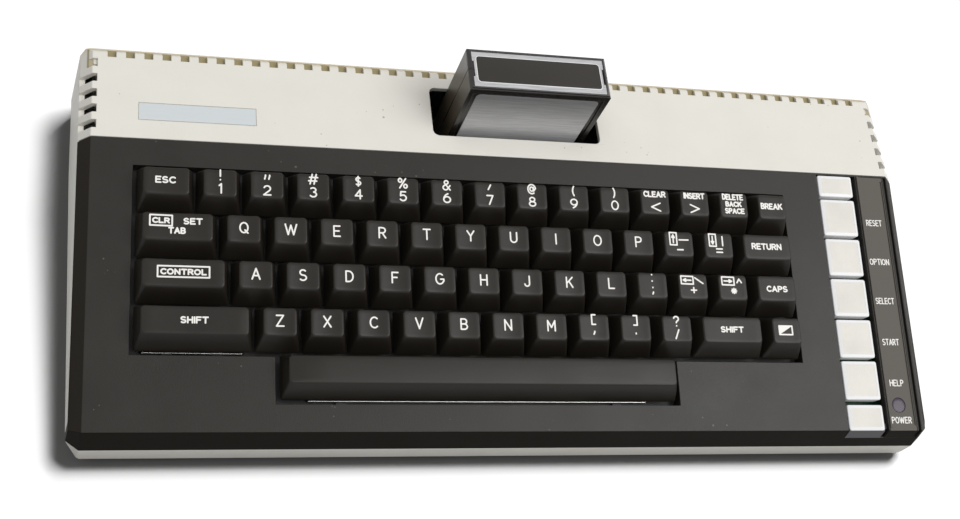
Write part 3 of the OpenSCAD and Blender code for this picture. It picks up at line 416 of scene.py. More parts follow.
def build_finishes(scene):
    """Every effect and material that the pieces use."""
    for old in list(bpy.data.materials):
        bpy.data.materials.remove(old)
    keys, case = scene.computer_keys, scene.computer_case
    console, cartridge = scene.computer_console, scene.computer_cartridge
    EFFECTS.update(
        grain=grain_effect(), ageing=ageing_effect(), specks=speck_effect(),
        brushed=brushed_effect(), ledges=ledge_effect())
    rear = (case.aged, 0.0795, 0.0840, 0.8)
    made = [
        plastic("case_cream", case.cream, rough=0.46, depth=0.000022, mottle=0.022, specks=0.55,
                speck_colour=(0.16, 0.13, 0.10), ageing=rear, dust=(0.27, 0.225, 0.115)),
        plastic("base_cream", case.cream, mottle=0.03, specks=0.6, ageing=rear),
        plastic("bezel_brown", case.brown, rough=0.34, grain=2100.0, depth=0.00004, mottle=0.07,
                specks=0.35, speck_colour=(0.22, 0.20, 0.17), specular=0.22),
        # Copies of the brown for the flanks and the front wall, darker and less glossy: painted
        # shade.
        plastic("bezel_flank_painted_shade", (0.0205, 0.0176, 0.0134), grain=2100.0, specular=0.06),
        plastic("bezel_front_painted_shade", (0.0105, 0.0088, 0.0066), grain=2100.0, specular=0.02),
        plastic("key_brown", keys.colour, rough=0.36, grain=2900.0, depth=0.00002, mottle=0.12,
                specular=0.24),
        # A dark grey copy of the filler's silver for its front tab: painted shade.
        plastic("tab_painted_shade", (0.10, 0.10, 0.105), depth=0.00001, specular=0.1),
        plastic("sign_white", keys.sign_colour, rough=0.45, grain=3000.0, depth=0.00001,
                mottle=0.03),
        plastic("label_dark", (0.096, 0.088, 0.076), grain=2300.0, specular=0.2),
        metal("button_silver", console.silver, rgba(console.silver, 0.96), rough=0.34,
              fineness=0.8, depth=0.000002, metallic=0.0),
        plastic("button_face", (0.68, 0.655, 0.605), grain=1100.0, depth=0.00006, mottle=0.09),
        metal("badge_silver", (0.60, 0.64, 0.648), (0.58, 0.62, 0.628), rough=0.5, metallic=0.0),
        plastic("frame_black", (0.014, 0.013, 0.013)),
        plastic("dome_rubber", (0.30, 0.29, 0.26), rough=0.65, grain=1500.0),
        metal("spring_wire", (0.62, 0.62, 0.60), (0.5, 0.5, 0.48), rough=0.25),
        plastic("slot_black", (0.010, 0.0095, 0.009), rough=0.28),
        plastic("cartridge_black", cartridge.black, rough=0.24, grain=2400.0, depth=0.000025,
                mottle=0.15, specks=0.3, speck_colour=(0.12, 0.10, 0.08)),
        metal("label_foil", cartridge.foil, (0.31, 0.31, 0.32), rough=0.36, fineness=1.1,
              metallic=0.2),
        metal("label_line", (0.82, 0.82, 0.82), (0.78, 0.78, 0.78), rough=0.3, metallic=0.0),
        # A lighter copy of the label foil for the front face, as painted light, which darkens
        # towards the top as painted shade.
        metal("face_foil_painted_light", (0.84, 0.84, 0.85), (0.58, 0.58, 0.59), rough=0.38, fineness=1.1,
              metallic=0.12, painted_shade_band=(0.054, 0.076, (0.42, 0.42, 0.42))),
        plastic("cartridge_brown", (0.058, 0.047, 0.032), rough=0.34, grain=2400.0, mottle=0.15),
        plastic("chip_black", (0.018, 0.018, 0.018), rough=0.55, grain=1800.0),
        metal("tin_plate", (0.60, 0.61, 0.60), (0.5, 0.51, 0.5), rough=0.32, fineness=0.5),
        plastic("socket_black", (0.016, 0.016, 0.017), rough=0.42),
        plastic("rocker_black", (0.012, 0.012, 0.012), rough=0.22, depth=0.00001),
        plastic("foot_rubber", (0.026, 0.026, 0.026), rough=0.75, grain=1700.0, depth=0.00005),
        metal("screw_steel", (0.40, 0.40, 0.38), (0.28, 0.28, 0.26), rough=0.34, fineness=0.6),
        metal("contact_gold", (0.80, 0.58, 0.24), (0.66, 0.46, 0.18), rough=0.26),
        plastic("panel_dark", (0.021, 0.018, 0.014), rough=0.40, depth=0.00001, specular=0.3),
        board_material(),
        lens_material(),
        ribbon_material(),
    ]
    FINISHES.update({material.name: material for material in made})


# ======== mesh helpers ========

# In degrees: a step along an arc, and the turn from which an edge is sharp
ARC_STEP, SHARP = 24, 32.0
# In millimetres: points of a new shape and of a CAD piece that are closer become one
SAME_POINT, SAME_CAD_POINT = 0.0004, 0.005


def arc(cx, cy, rx, ry, start, end):
    """Points along an arc, with its angles in degrees."""
    steps = max(3, round(abs(end - start) / ARC_STEP))
    turns = [math.radians(start + (end - start) * i / steps) for i in range(steps + 1)]
    return [(cx + rx * math.cos(t), cy + ry * math.sin(t)) for t in turns]


def oval(cx, cy, rx, ry):
    """Points round a closed oval. The last one is the first again."""
    return arc(cx, cy, rx, ry, 0, 360)


def circle(radius, count):
    """Points round a circle."""
    turns = [2 * math.pi * i / count for i in range(count)]
    return [(radius * math.cos(t), radius * math.sin(t)) for t in turns]


def outline(half, front, rear, radius, across=8):
    """Points round a rectangle with rounded corners, counter-clockwise from its front right."""
    x, low, high = half - radius, front + radius, rear - radius
    corners = [
        arc(x, low, radius, radius, -90, 0), arc(x, high, radius, radius, 0, 90),
        arc(-x, high, radius, radius, 90, 180), arc(-x, low, radius, radius, 180, 270),
    ]
    steps = [i / across for i in range(1, across)]
    points = corners[0] + corners[1]
    points += [(x - 2 * x * t, rear) for t in steps]
    points += corners[2] + corners[3]
    points += [(-x + 2 * x * t, front) for t in steps]
    return points


def bridge(bm, rings):
    """Joins rings of points by bands of quads and closes both ends."""
    loops = [[bm.verts.new(point) for point in ring] for ring in rings]
    for low, high in zip(loops, loops[1:]):
        for i in range(len(low)):
            bm.faces.new((low[i - 1], low[i], high[i], high[i - 1]))
    bm.faces.new(reversed(loops[0]))
    bm.faces.new(loops[-1])


def block(bm, low, high):
    """A plain box from its low corner to its high corner."""
    low, high = Vector(low), Vector(high)
    size = Matrix.Diagonal((*(high - low), 1.0))
    bmesh.ops.create_cube(bm, size=1.0, matrix=Matrix.Translation((low + high) / 2) @ size)


def mesh_from(bm, name, place, sharp=SHARP):
    """Turns a shape in millimetres into a mesh in the part's frame."""
    bmesh.ops.remove_doubles(bm, verts=bm.verts, dist=SAME_POINT)
    bmesh.ops.recalc_face_normals(bm, faces=bm.faces)
    mesh = bpy.data.meshes.new(name)
    bm.to_mesh(mesh)
    bm.free()
    mesh.transform(place)
    mesh.shade_smooth()
    mesh.set_sharp_from_angle(angle=math.radians(sharp))
    return mesh


def linked(name, data):
    """A new object in the scene."""
    made = bpy.data.objects.new(name, data)
    bpy.context.scene.collection.objects.link(made)
    return made


def baked(holder, *helpers):
    """The plain mesh that an object's modifiers make. It and its helpers leave the scene."""
    depsgraph = bpy.context.evaluated_depsgraph_get()
    mesh = bpy.data.meshes.new_from_object(holder.evaluated_get(depsgraph))
    holder.modifiers.clear()
    for made in (holder, *helpers):
        bpy.data.objects.remove(made)
    return mesh


def piece(name, mesh, body, slot, finishes=(), replaces=()):
    """Hangs a finished mesh on its body, in its finishes, or in the finish named by its slot when
    none are given.
    """
    made = linked(name, mesh)
    parts = [face.material_index for face in mesh.polygons]
    mesh.materials.clear()
    for finish in finishes or (slot,):
        mesh.materials.append(FINISHES[finish])
    mesh.polygons.foreach_set("material_index", parts)
    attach(made, body)
    if replaces:
        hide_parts(*replaces)


def copies_tree():
    """Geometry Nodes: one shape on every point of a mesh, in one material."""
    tree = bpy.data.node_groups.new("Copies On Points", "GeometryNodeTree")
    for way, label, kind in (
            ("INPUT", "Geometry", "Geometry"), ("INPUT", "Shape", "Object"),
            ("INPUT", "Material", "Material"), ("OUTPUT", "Geometry", "Geometry")):
        tree.interface.new_socket(label, in_out=way, socket_type="NodeSocket" + kind)
    given = add(tree, "NodeGroupInput", {})
    shape = add(tree, "GeometryNodeObjectInfo", {"Object": given["Shape"]})
    copies = add(tree, "GeometryNodeInstanceOnPoints", {
        "Points": given["Geometry"], "Instance": shape["Geometry"]})
    real = add(tree, "GeometryNodeRealizeInstances", {"Geometry": copies["Instances"]})
    coated = add(tree, "GeometryNodeSetMaterial", {
        "Geometry": real["Geometry"], "Material": given["Material"]})
    add(tree, "NodeGroupOutput", {"Geometry": coated["Geometry"]})
    return tree


def copied(name, shape, spots, finish, place):
    """A mesh of copies of a shape, one at each spot (x, y, z)."""
    tree = bpy.data.node_groups.get("Copies On Points") or copies_tree()
    points = bpy.data.meshes.new(name)
    points.from_pydata(spots, [], [])
    holder, model = linked(name, points), linked(name + "_shape", shape)
    modifier = holder.modifiers.new("Copies", "NODES")
    modifier.node_group = tree
    sockets = {item.name: item.identifier for item in tree.interface.items_tree
               if item.in_out == "INPUT"}
    modifier[sockets["Shape"]] = model
    modifier[sockets["Material"]] = FINISHES[finish]
    made = baked(holder, model)
    made.transform(place)
    return made


# ======== signs ========

# Strokes of each letter, digit and sign, on a height of 12
LOOP = oval(4.6, 6, 4.6, 6)
SNAKE = arc(3.7, 9, 3.3, 3, 38, 268) + arc(3.7, 3, 3.7, 3, 90, -142)
UPRIGHT = [(0, 0), (0, 12)]
BOWL = UPRIGHT + arc(3.9, 8.9, 3.3, 3.1, 90, -90) + [(0, 5.8)]
DOT, COMMA = [(0, 0.3), (0, 0)], [(0.9, 2.4), (0.9, 1.8), (0, 0)]
GLYPHS = {
    "A": [[(0, 0), (4.3, 12), (8.6, 0)], [(1.5, 4), (7.1, 4)]],
    "B": [arc(3.8, 9.1, 2.9, 2.9, -90, 90) + [(0, 12), (0, 0)] + arc(3.8, 3.1, 3.5, 3.1, -90, 90)
          + [(0, 6.2)]],
    "C": [arc(4.7, 6, 4.7, 6, 48, 312)],
    "D": [UPRIGHT + arc(3.2, 6, 4.8, 6, 90, -90) + [(0, 0)]],
    "E": [[(6.8, 12), (0, 12), (0, 0), (7, 0)], [(0, 6.2), (5.8, 6.2)]],
    "F": [[(6.8, 12), (0, 12), (0, 0)], [(0, 6.2), (5.6, 6.2)]],
    "G": [arc(4.7, 6, 4.7, 6, 50, 330), [(9.2, 3.4), (9.2, 5.6), (5.6, 5.6)]],
    "H": [UPRIGHT, [(7.6, 0), (7.6, 12)], [(0, 6.2), (7.6, 6.2)]],
    "I": [UPRIGHT],
    "J": [[(5.8, 12)] + arc(2.9, 3, 2.9, 3, 0, -170)],
    "K": [UPRIGHT, [(7.2, 12), (0, 4.6)], [(2.8, 7.5), (7.4, 0)]],
    "L": [[(0, 12), (0, 0), (6.6, 0)]],
    "M": [[(0, 0), (0, 12), (4.4, 4), (8.8, 12), (8.8, 0)]],
    "N": [[(0, 0), (0, 12), (7.8, 0), (7.8, 12)]],
    "O": [LOOP],
    "P": [BOWL],
    "Q": [LOOP, [(5.8, 3.2), (9.2, -0.4)]],
    "R": [BOWL, [(3.7, 5.8), (7.4, 0)]],
    "S": [SNAKE],
    "T": [[(0, 12), (8, 12)], [(4, 12), (4, 0)]],
    "U": [[(0, 12)] + arc(3.8, 3.8, 3.8, 3.8, 180, 360) + [(7.6, 12)]],
    "V": [[(0, 12), (4.1, 0), (8.2, 12)]],
    "W": [[(0, 12), (3.3, 0), (6.4, 11), (9.5, 0), (12.8, 12)]],
    "X": [[(0, 0), (7.8, 12)], [(0, 12), (7.8, 0)]],
    "Y": [[(0, 12), (4, 5.8), (8, 12)], [(4, 5.8), (4, 0)]],
    "Z": [[(0, 12), (7.6, 12), (0, 0), (8, 0)]],
    "0": [LOOP],
    "1": [[(0, 9.8), (2.4, 12), (2.4, 0)]],
    "2": [arc(4.4, 8.4, 4, 3.6, 160, -38) + [(0, 0), (8.8, 0)]],
    "3": [arc(4, 9.2, 3.5, 2.8, 140, -90) + arc(4, 3.2, 4.2, 3.2, 90, -148)],
    "4": [[(6.2, 0), (6.2, 12), (0, 3.8), (8.6, 3.8)]],
    "5": [[(7.6, 12), (1.6, 12), (1, 6.6)] + arc(4.2, 3.8, 4.2, 3.8, 112, -148)],
    "6": [oval(4.3, 3.8, 4.3, 3.8), arc(9, 3.8, 9, 8.2, 180, 112)],
    "7": [[(0, 12), (8, 12), (3, 0)]],
    "8": [oval(4.3, 9.1, 3.4, 2.9), oval(4.3, 3.1, 4.3, 3.1)],
    "9": [oval(4.3, 8.2, 4.3, 3.8), arc(-0.4, 8.2, 9, 8.2, 0, -68)],
    "!": [[(0, 12), (0, 4.6)], DOT],
    "\"": [[(1, 5.4), (1, 4.2), (0, 0.6)], [(6, 5.4), (6, 4.2), (5, 0.6)]],
    "#": [[(1.6, 0), (4.4, 12)], [(6.4, 0), (9.2, 12)], [(0, 3.8), (9.6, 3.8)],
          [(1.2, 8.2), (10.8, 8.2)]],
    "$": [SNAKE, [(3.7, -1.6), (3.7, 13.6)]],
    "%": [[(1.4, 0), (9, 12)], oval(2.1, 9.6, 2.1, 2.4), oval(8.6, 2.4, 2.1, 2.4)],
    "&": [[(8.8, 0)] + arc(4.2, 9.7, 2.4, 2.3, 215, -35) + arc(3.1, 3, 3.1, 3, 130, 315)
          + [(8.8, 5.6)]],
    "'": [[(3.2, 6), (0, 0)]],
    "@": [arc(5, 6, 5, 6, -58, -350), oval(4.9, 6, 2.2, 2.7),
          [(7.1, 8.4), (7.5, 3.6), (9.9, 7)]],
    "(": [arc(6, 6, 6, 8.6, 136, 224)],
    ")": [arc(-4, 6, 6, 8.6, 44, -44)],
    "[": [[(4.6, 12), (0, 12), (0, 0), (4.6, 0)]],
    "]": [[(0, 12), (4.6, 12), (4.6, 0), (0, 0)]],
    "<": [[(8, 11), (0, 5.5), (8, 0)]],
    ">": [[(0, 11), (8, 5.5), (0, 0)]],
    "?": [arc(3.2, 9, 3.2, 3, 165, -70) + [(3.2, 4.6), (3.2, 4.2)], [(3.2, 0.3), (3.2, 0)]],
    "/": [[(0, 0), (5, 12)]],
    "\\": [[(0, 12), (15, 0)]],
    "-": [[(0, 0), (6, 0)]],
    "|": [UPRIGHT],
    "=": [[(0, 0), (6, 0)], [(0, 3.4), (6, 3.4)]],
    "+": [[(0, 3), (6, 3)], [(3, 0), (3, 6)]],
    "^": [[(0, 0), (3.4, 5), (6.8, 0)]],
    "*": [[(0, 3), (6, 3)], [(3, 0), (3, 6)], [(0.9, 0.9), (5.1, 5.1)], [(0.9, 5.1), (5.1, 0.9)]],
    ".": [DOT],
    ":": [DOT, [(0, 7.3), (0, 7)]],
    ",": [COMMA],
    ";": [COMMA, [(0.7, 8.6), (0.7, 8.3)]],
}
SIGNS = {
    "frame": [[(0, 0), (8, 0), (8, 8), (0, 8), (0, 0)]],
    "arrow up": [[(2, 0), (2, 9)], [(0, 6), (2, 9), (4, 6)]],
    "arrow down": [[(2, 9), (2, 0)], [(0, 3), (2, 0), (4, 3)]],
    "arrow left": [[(9, 2), (0, 2)], [(3, 0), (0, 2), (3, 4)]],
    "arrow right": [[(0, 2), (9, 2)], [(6, 0), (9, 2), (6, 4)]],
}
LETTER_GAP = 3.4
# How proud of the surface a stroke stands, how much more the next one does, and its depth
SIGN_PROUD, SIGN_STEP, SIGN_DEPTH = 0.04, 0.01, 0.12
# The turn in radians that counts as a corner, and the span that is too thin to stretch
SHARP_CORNER, THIN = 0.7, 0.4

# Signs on the keys: text, middle across and up the key's top, width and height (0: natural)
WORD_KEYS = {
    (0, 0): [("ESC", -0.4, 0.4, 8.2, 3.0)],
    (0, 11): [("CLEAR", 0, 3.6, 10.6, 2.9), ("<", 0.3, -2.3, 4.8, 4.3)],
    (0, 12): [("INSERT", 0, 3.6, 10.3, 2.9), (">", 0, -2.3, 4.8, 4.3)],
    (0, 13): [("DELETE", -0.2, 3.9, 10.4, 2.9), ("BACK", 0, 0.6, 8.0, 2.6),
              ("SPACE", 0.3, -2.6, 9.6, 2.7)],
    (0, 14): [("BREAK", -0.3, 0.3, 10.8, 3.0)],
    (1, 0): [("frame", -6.7, 2.3, 9.4, 5.0), ("CLR", -6.7, 2.3, 7.0, 2.5),
             ("SET", 5.9, 2.3, 7.6, 2.8), ("TAB", -0.4, -1.7, 7.0, 2.8)],
    (1, 11): [("frame", -2.5, 2.4, 4.0, 6.2), ("arrow up", -2.5, 2.4, 1.9, 4.2),
              ("-", 2.4, 2.0, 4.8, 0), ("-", 0.5, -2.5, 3.3, 0)],
    (1, 12): [("frame", -2.7, 2.4, 4.0, 6.2), ("arrow down", -2.7, 2.4, 1.9, 4.2),
              ("|", 2.1, 2.1, 0, 4.8), ("=", 0.3, -2.3, 3.4, 2.2)],
    (1, 13): [("RETURN", -0.3, 0.3, 14.8, 3.0)],
    (2, 0): [("frame", 0, 0.4, 20.9, 5.1), ("CONTROL", 0, 0.4, 18.2, 2.6)],
    (2, 11): [("frame", -2.6, 2.8, 6.5, 4.1), ("arrow left", -2.6, 2.8, 4.4, 1.9),
              ("\\", 3.0, 2.7, 4.2, 3.2), ("+", 0.3, -1.6, 3.1, 2.9)],
    (2, 12): [("frame", -2.1, 2.9, 6.6, 4.2), ("arrow right", -2.1, 2.9, 4.4, 1.9),
              ("^", 3.3, 3.1, 2.7, 2.3), ("*", 0.5, -1.5, 3.0, 2.9)],
    (2, 13): [("CAPS", 0.1, -0.1, 10.3, 2.9)],
    (3, 0): [("SHIFT", -0.3, 0.1, 11.0, 2.9)],
    (3, 11): [("SHIFT", 0, 0.2, 11.0, 2.8)],
}
LETTER_ROWS = ("", "QWERTYUIOP", "ASDFGHJKL", "ZXCVBNM")
PAIRS = {
    0: list(zip("1234567890", "!\"#$%&'@()")),
    2: [None] * 9 + [(";", ":")],
    3: [None] * 7 + [(",", "["), (".", "]"), ("/", "?")],
}
SMALL_HEIGHTS = {"\"": 2.3, "'": 2.7, ".": 0, ",": 1.9, ";": 3.6, ":": 3.6}


def runs_of(stroke):
    """Splits a stroke at its sharp corners, so that each run bends gently."""
    points = [Vector(point) for point in stroke]
    runs, run = [], [points[0]]
    for before, here, after in zip(points, points[1:], points[2:]):
        run.append(here)
        if (here - before).angle(after - here, 0.0) > SHARP_CORNER:
            runs.append(run)
            run = [here]
    runs.append(run + [points[-1]])
    return runs


def ribbon(bm, run, half):
    """A flat band with round ends along a run of points. Returns its faces."""
    closed = len(run) > 3 and (run[0] - run[-1]).length < 1e-4
    points = run[:-1] if closed else run
    count = len(points)
    sides = []
    for i, here in enumerate(points):
        after = points[(i + 1) % count] if closed or i < count - 1 else here
        before = points[i - 1] if closed or i else here
        way = (after - before).normalized()
        out = Vector((-way.y, way.x)) * half
        sides.append([bm.verts.new((*(here + out), 0)), bm.verts.new((*(here - out), 0))])
    pairs = list(zip(sides, sides[1:])) + ([(sides[-1], sides[0])] if closed else [])
    faces = [bm.faces.new((a[0], a[1], b[1], b[0])) for a, b in pairs]
    if not closed:
        for end, first, beside in ((0, 0, 1), (-1, 1, -2)):
            middle, way = points[end], points[end] - points[beside]
            turn = math.degrees(math.atan2(way.y, way.x))
            round_end = arc(middle.x, middle.y, half, half, turn - 90, turn + 90)[1:-1]
            fan = [bm.verts.new((*point, 0)) for point in round_end]
            faces.append(bm.faces.new([sides[end][first], *fan, sides[end][1 - first]]))
    return faces


def strokes_of(text):
    """The strokes of a sign or of a word set from left to right."""
    if text in SIGNS:
        return SIGNS[text]
    strokes, left = [], 0.0
    for letter in text:
        shapes = GLYPHS[letter]
        xs = [x for shape in shapes for x, y in shape]
        strokes += [[(x - min(xs) + left, y) for x, y in shape] for shape in shapes]
        left += max(xs) - min(xs) + LETTER_GAP
    return strokes


def set_in(bm, faces, surface, proud):
    """Gives flat faces walls, with the top just proud of the surface and the foot under it."""
    foot = bmesh.ops.extrude_face_region(bm, geom=faces)["geom"]
    levels = {v: -SIGN_DEPTH for v in foot if isinstance(v, bmesh.types.BMVert)}
    levels.update({v: proud for face in faces for v in face.verts})
    for v, level in levels.items():
        v.co.z = surface(v.co.x, v.co.y) + level


def stretch(points, room, stroke, other=1.0):
    """How much points on one axis grow to fill their room, and their middle."""
    low, high = min(points), max(points)
    grow = (room - stroke) / (high - low) if room and high - low > THIN else other
    return grow, (high + low) / 2


def draw(bm, text, middle, size, stroke, surface, step):
    """Sets a sign or a word into the surface, a little proud of it.

    A height of 0 is its height as drawn, and a width of 0 keeps its proportions.
    """
    strokes = strokes_of(text)
    grow_y, mid_y = stretch([y for shape in strokes for x, y in shape], size[1], stroke)
    grow_x, mid_x = stretch([x for shape in strokes for x, y in shape], size[0], stroke, grow_y)
    for shape in strokes:
        scaled = [(middle[0] + (x - mid_x) * grow_x, middle[1] + (y - mid_y) * grow_y)
                  for x, y in shape]
        for run in runs_of(scaled):
            set_in(bm, ribbon(bm, run, stroke / 2), surface, SIGN_PROUD + SIGN_STEP * (step[0] % 5))
            step[0] += 1


# ======== keys ========

SKIRT_Z = -1.0
BAR_CROWN = 60.0
# Stems and hooks start this far under a cap's top. A hook holds the balance wire
ROOF = 1.9
STEM_HALF, STEM_LOW = 2.2, -8.4
HOOK_HALF, HOOK_FRONT, HOOK_REAR, WIRE_Z = 1.2, -4.2, 1.0, -5.7
# Widths, in key pitches, above which a key is the crowned bar or has a balance wire
BAR_FROM, WIRED_FROM = 5, 2.4
BAR_STEMS, SHIFT_STEMS = (-50, 0, 50), (-11.4, 0, 11.4)
BAR_REACH, SHIFT_REACH = 70.4, 16.9
REVERSE_KEY = (3, 12)


def key_places():
    """Every key: its row and place in the row, node, width and middle on the deck."""
    places = []
    for row, keys in enumerate(ROWS):
        left = ROW_X0[row]
        for i, (node, width) in enumerate(keys):
            middle = (left + width * KEY_PITCH / 2, FIRST_ROW_S - row * KEY_PITCH)
            places.append(((row, i), node, width, middle))
            left += width * KEY_PITCH
    return places


def top_height(keys, width, x, y):
    """Height of a key's hollowed or crowned top at a point of it."""
    if width > BAR_FROM:
        return keys.top - (y - KEY_LEAN) ** 2 / (2 * BAR_CROWN)
    half = (width * KEY_PITCH - keys.gap) / 2 - keys.side_draft
    return keys.top - keys.dish * (1 - min(1.0, abs(x) / half) ** 2)


def cap_mesh(keys, width, name):
    """A sculpted cap on its stems, in millimetres about the middle of its skirt."""
    half = (width * KEY_PITCH - keys.gap) / 2
    deep = (KEY_PITCH - keys.gap) / 2
    tall = keys.top - SKIRT_Z
    top_front, top_rear = KEY_LEAN - keys.top_depth / 2, KEY_LEAN + keys.top_depth / 2

    def ring(z, inset=0.0, follow=0.0):
        share = (z - SKIRT_Z) / tall
        radius = keys.corner + (keys.top_corner - keys.corner) * share - 0.6 * inset
        points = outline(
            half - keys.side_draft * share - inset,
            -deep + (top_front + deep) * share + inset,
            deep + (top_rear - deep) * share - inset, max(radius, 0.3))
        return [(x, y, z + follow * (top_height(keys, width, x, y) - keys.top)) for x, y in points]

    rings = [ring(keys.top - 2, keys.skin), ring(SKIRT_Z, keys.skin), ring(SKIRT_Z), ring(3.4, -0.1)]
    for turn in (0, 30, 60, 90):
        a = math.radians(turn)
        z, inset = keys.top - keys.edge * (1 - math.sin(a)), keys.edge * (1 - math.cos(a))
        rings.append(ring(z, inset, 1.0))
    rim = rings[-1]
    for share in (0.8, 0.5, 0.2):
        inside = [(x * share, KEY_LEAN + (y - KEY_LEAN) * share) for x, y, z in rim]
        rings.append([(x, y, top_height(keys, width, x, y)) for x, y in inside])
    bm = bmesh.new()
    bridge(bm, rings)
    stems, reach = (0,), ()
    if width > WIRED_FROM:
        stems, reach = SHIFT_STEMS, (-SHIFT_REACH, SHIFT_REACH)
    if width > BAR_FROM:
        stems, reach = BAR_STEMS, (-BAR_REACH, BAR_REACH)
    roof = keys.top - ROOF
    for x in stems:
        block(bm, (x - STEM_HALF, -STEM_HALF, STEM_LOW), (x + STEM_HALF, STEM_HALF, roof))
    for x in reach:
        left, right = x - HOOK_HALF, x + HOOK_HALF
        block(bm, (left, HOOK_FRONT, WIRE_Z + 0.8), (right, HOOK_REAR, roof))
        block(bm, (left, 0.1, WIRE_Z - 0.7), (right, HOOK_REAR, WIRE_Z + 0.7))
        block(bm, (left, HOOK_FRONT, WIRE_Z - 1.6), (right, HOOK_REAR, WIRE_Z - 0.8))
    return mesh_from(bm, name, Matrix.Identity(4), sharp=38.0)


class COMPUTER_OT_key_caps(bpy.types.Operator):
    """Moulds every key cap over its CAD key"""
    bl_idname = "computer.key_caps"
    bl_label = "Key caps"

    def execute(self, context):
        keys = context.scene.computer_keys
        groups = {}
        for place, node, width, middle in key_places():
            groups.setdefault((node, width), []).append((*middle, 0.0))
        for (node, width), spots in groups.items():
            name = "cap_" + node
            mesh = copied(name, cap_mesh(keys, width, "cap"), spots, "key_brown", DECK)
            piece(name, mesh, node, "key_brown", replaces=(node,))
        return {"FINISHED"}


class COMPUTER_OT_legends(bpy.types.Operator):
    """Sets the letters, digits and signs into the key tops"""
    bl_idname = "computer.legends"
    bl_label = "Key signs"

    def execute(self, context):
        keys = context.scene.computer_keys
        shapes = {}
        step = [0]
        for place, node, width, middle in key_places():
            marks = self.marks_of(*place)
            if not marks and place != REVERSE_KEY:
                continue
            bm = shapes.setdefault(node, bmesh.new())
            kx, ks = middle

            def surface(x, y):
                return top_height(keys, width, x - kx, y - ks)

            for text, dx, ds, wide, high in marks:
                spot = (kx + dx, ks + KEY_LEAN + ds)
                draw(bm, text, spot, (wide, high), keys.stroke, surface, step)
            if place == REVERSE_KEY:
                spot = (kx - 0.4, ks + KEY_LEAN + 0.25)
                self.half_filled_frame(bm, spot, keys.stroke, surface, step)
        for node, bm in shapes.items():
            mesh = mesh_from(bm, "signs_" + node, DECK)
            piece("signs_" + node, mesh, node, "key_brown", finishes=("sign_white",))
        return {"FINISHED"}

    def marks_of(self, row, i):
        """The signs on one key, each with its middle on the top, its width and its height."""
        marks = list(WORD_KEYS.get((row, i), ()))
        if 1 <= i <= 10 and row < 4:
            letters, pairs = LETTER_ROWS[row], PAIRS.get(row, ())
            pair = pairs[i - 1] if i <= len(pairs) else None
            if pair:
                low, high = pair
                marks.append((low, 0, -2.3, 0, SMALL_HEIGHTS.get(low, 4.55)))
                marks.append((high, 0, 3.4, 0, SMALL_HEIGHTS.get(high, 4.8)))
            elif i <= len(letters):
                marks.append((letters[i - 1], 0, 0.4, 0, 5.0))
        return marks

    def half_filled_frame(self, bm, spot, stroke, surface, step):
        """The sign for reversed letters: a frame whose upper left half is filled."""
        wide, high = 7.0, 4.5
        draw(bm, "frame", spot, (wide, high), stroke, surface, step)
        x, y = wide / 2 - 0.3, high / 2 - 0.3
        corners = ((-x, -y), (x, y), (-x, y))
        face = bm.faces.new([bm.verts.new((spot[0] + dx, spot[1] + dy, 0)) for dx, dy in corners])
        set_in(bm, [face], surface, SIGN_PROUD)


# ======== case ========

class COMPUTER_OT_case(bpy.types.Operator):
    """Gives every CAD node the finish of its slot"""
    bl_idname = "computer.case"
    bl_label = "Finishes"

    def execute(self, context):
        for node, made in NODES.items():
            made.data.materials.clear()
            made.data.materials.append(FINISHES[SLOTS[node]])
        return {"FINISHED"}


# ======== softened CAD pieces ========

# Turns in degrees: of an edge that is rounded or left out, and between faces shaded as one
EDGE_TURN, NO_TURN = 25.0, 0.4
SAME_TURN, CURVED_TURN, ROUNDED_TURN = 2.0, 26.0, 50.0
# The finish of rounded edges while they are shaded, and the area of a small face in square metres
ROUNDED, SMALL_FACE = 1, 40e-6
# A wall faces its side by more than this, and the front wall lies before this line
WALL_LEAN, FRONT_Y = 0.5, BREAK_Y - 90


def softened(node, radius, body="case", finishes=(), choose=None, shortest=2.0, skin=None):
    """A copy of a CAD node with its longer outer edges rounded, which stands for the node."""
    bm = bmesh.new()
    bm.from_mesh(skin or NODES[node].data)
    bmesh.ops.remove_doubles(bm, verts=bm.verts, dist=SAME_CAD_POINT * MM)
    bmesh.ops.dissolve_limit(
        bm, angle_limit=math.radians(NO_TURN), verts=bm.verts, edges=bm.edges)
    bmesh.ops.connect_verts_concave(bm, faces=bm.faces)
    weight = bm.edges.layers.float.new("bevel_weight_edge")
    for edge in bm.edges:
        turn = math.degrees(edge.calc_face_angle(0.0))
        rounded = turn > EDGE_TURN and edge.is_convex and edge.calc_length() > shortest * MM
        edge[weight] = 1.0 if rounded else 0.0
        edge.smooth = rounded or turn < EDGE_TURN
    for face in bm.faces:
        face.smooth = True
    source = bpy.data.meshes.new(node + "_source")
    bm.to_mesh(source)
    bm.free()
    for i in range(ROUNDED + 1):
        source.materials.append(FINISHES[SLOTS[node]])
    holder = linked(node + "_source", source)
    bevel = holder.modifiers.new("Soft edges", "BEVEL")
    bevel.limit_method = "WEIGHT"
    bevel.width = radius * MM
    bevel.segments = 2
    bevel.use_clamp_overlap = False
    bevel.material = ROUNDED
    mesh = baked(holder)
    keep_flats_flat(mesh)
    for face in mesh.polygons:
        face.material_index = choose(face.center / MM, face.normal) if choose else 0
    piece(node + "_moulded", mesh, body, SLOTS[node], finishes, replaces=(node,))


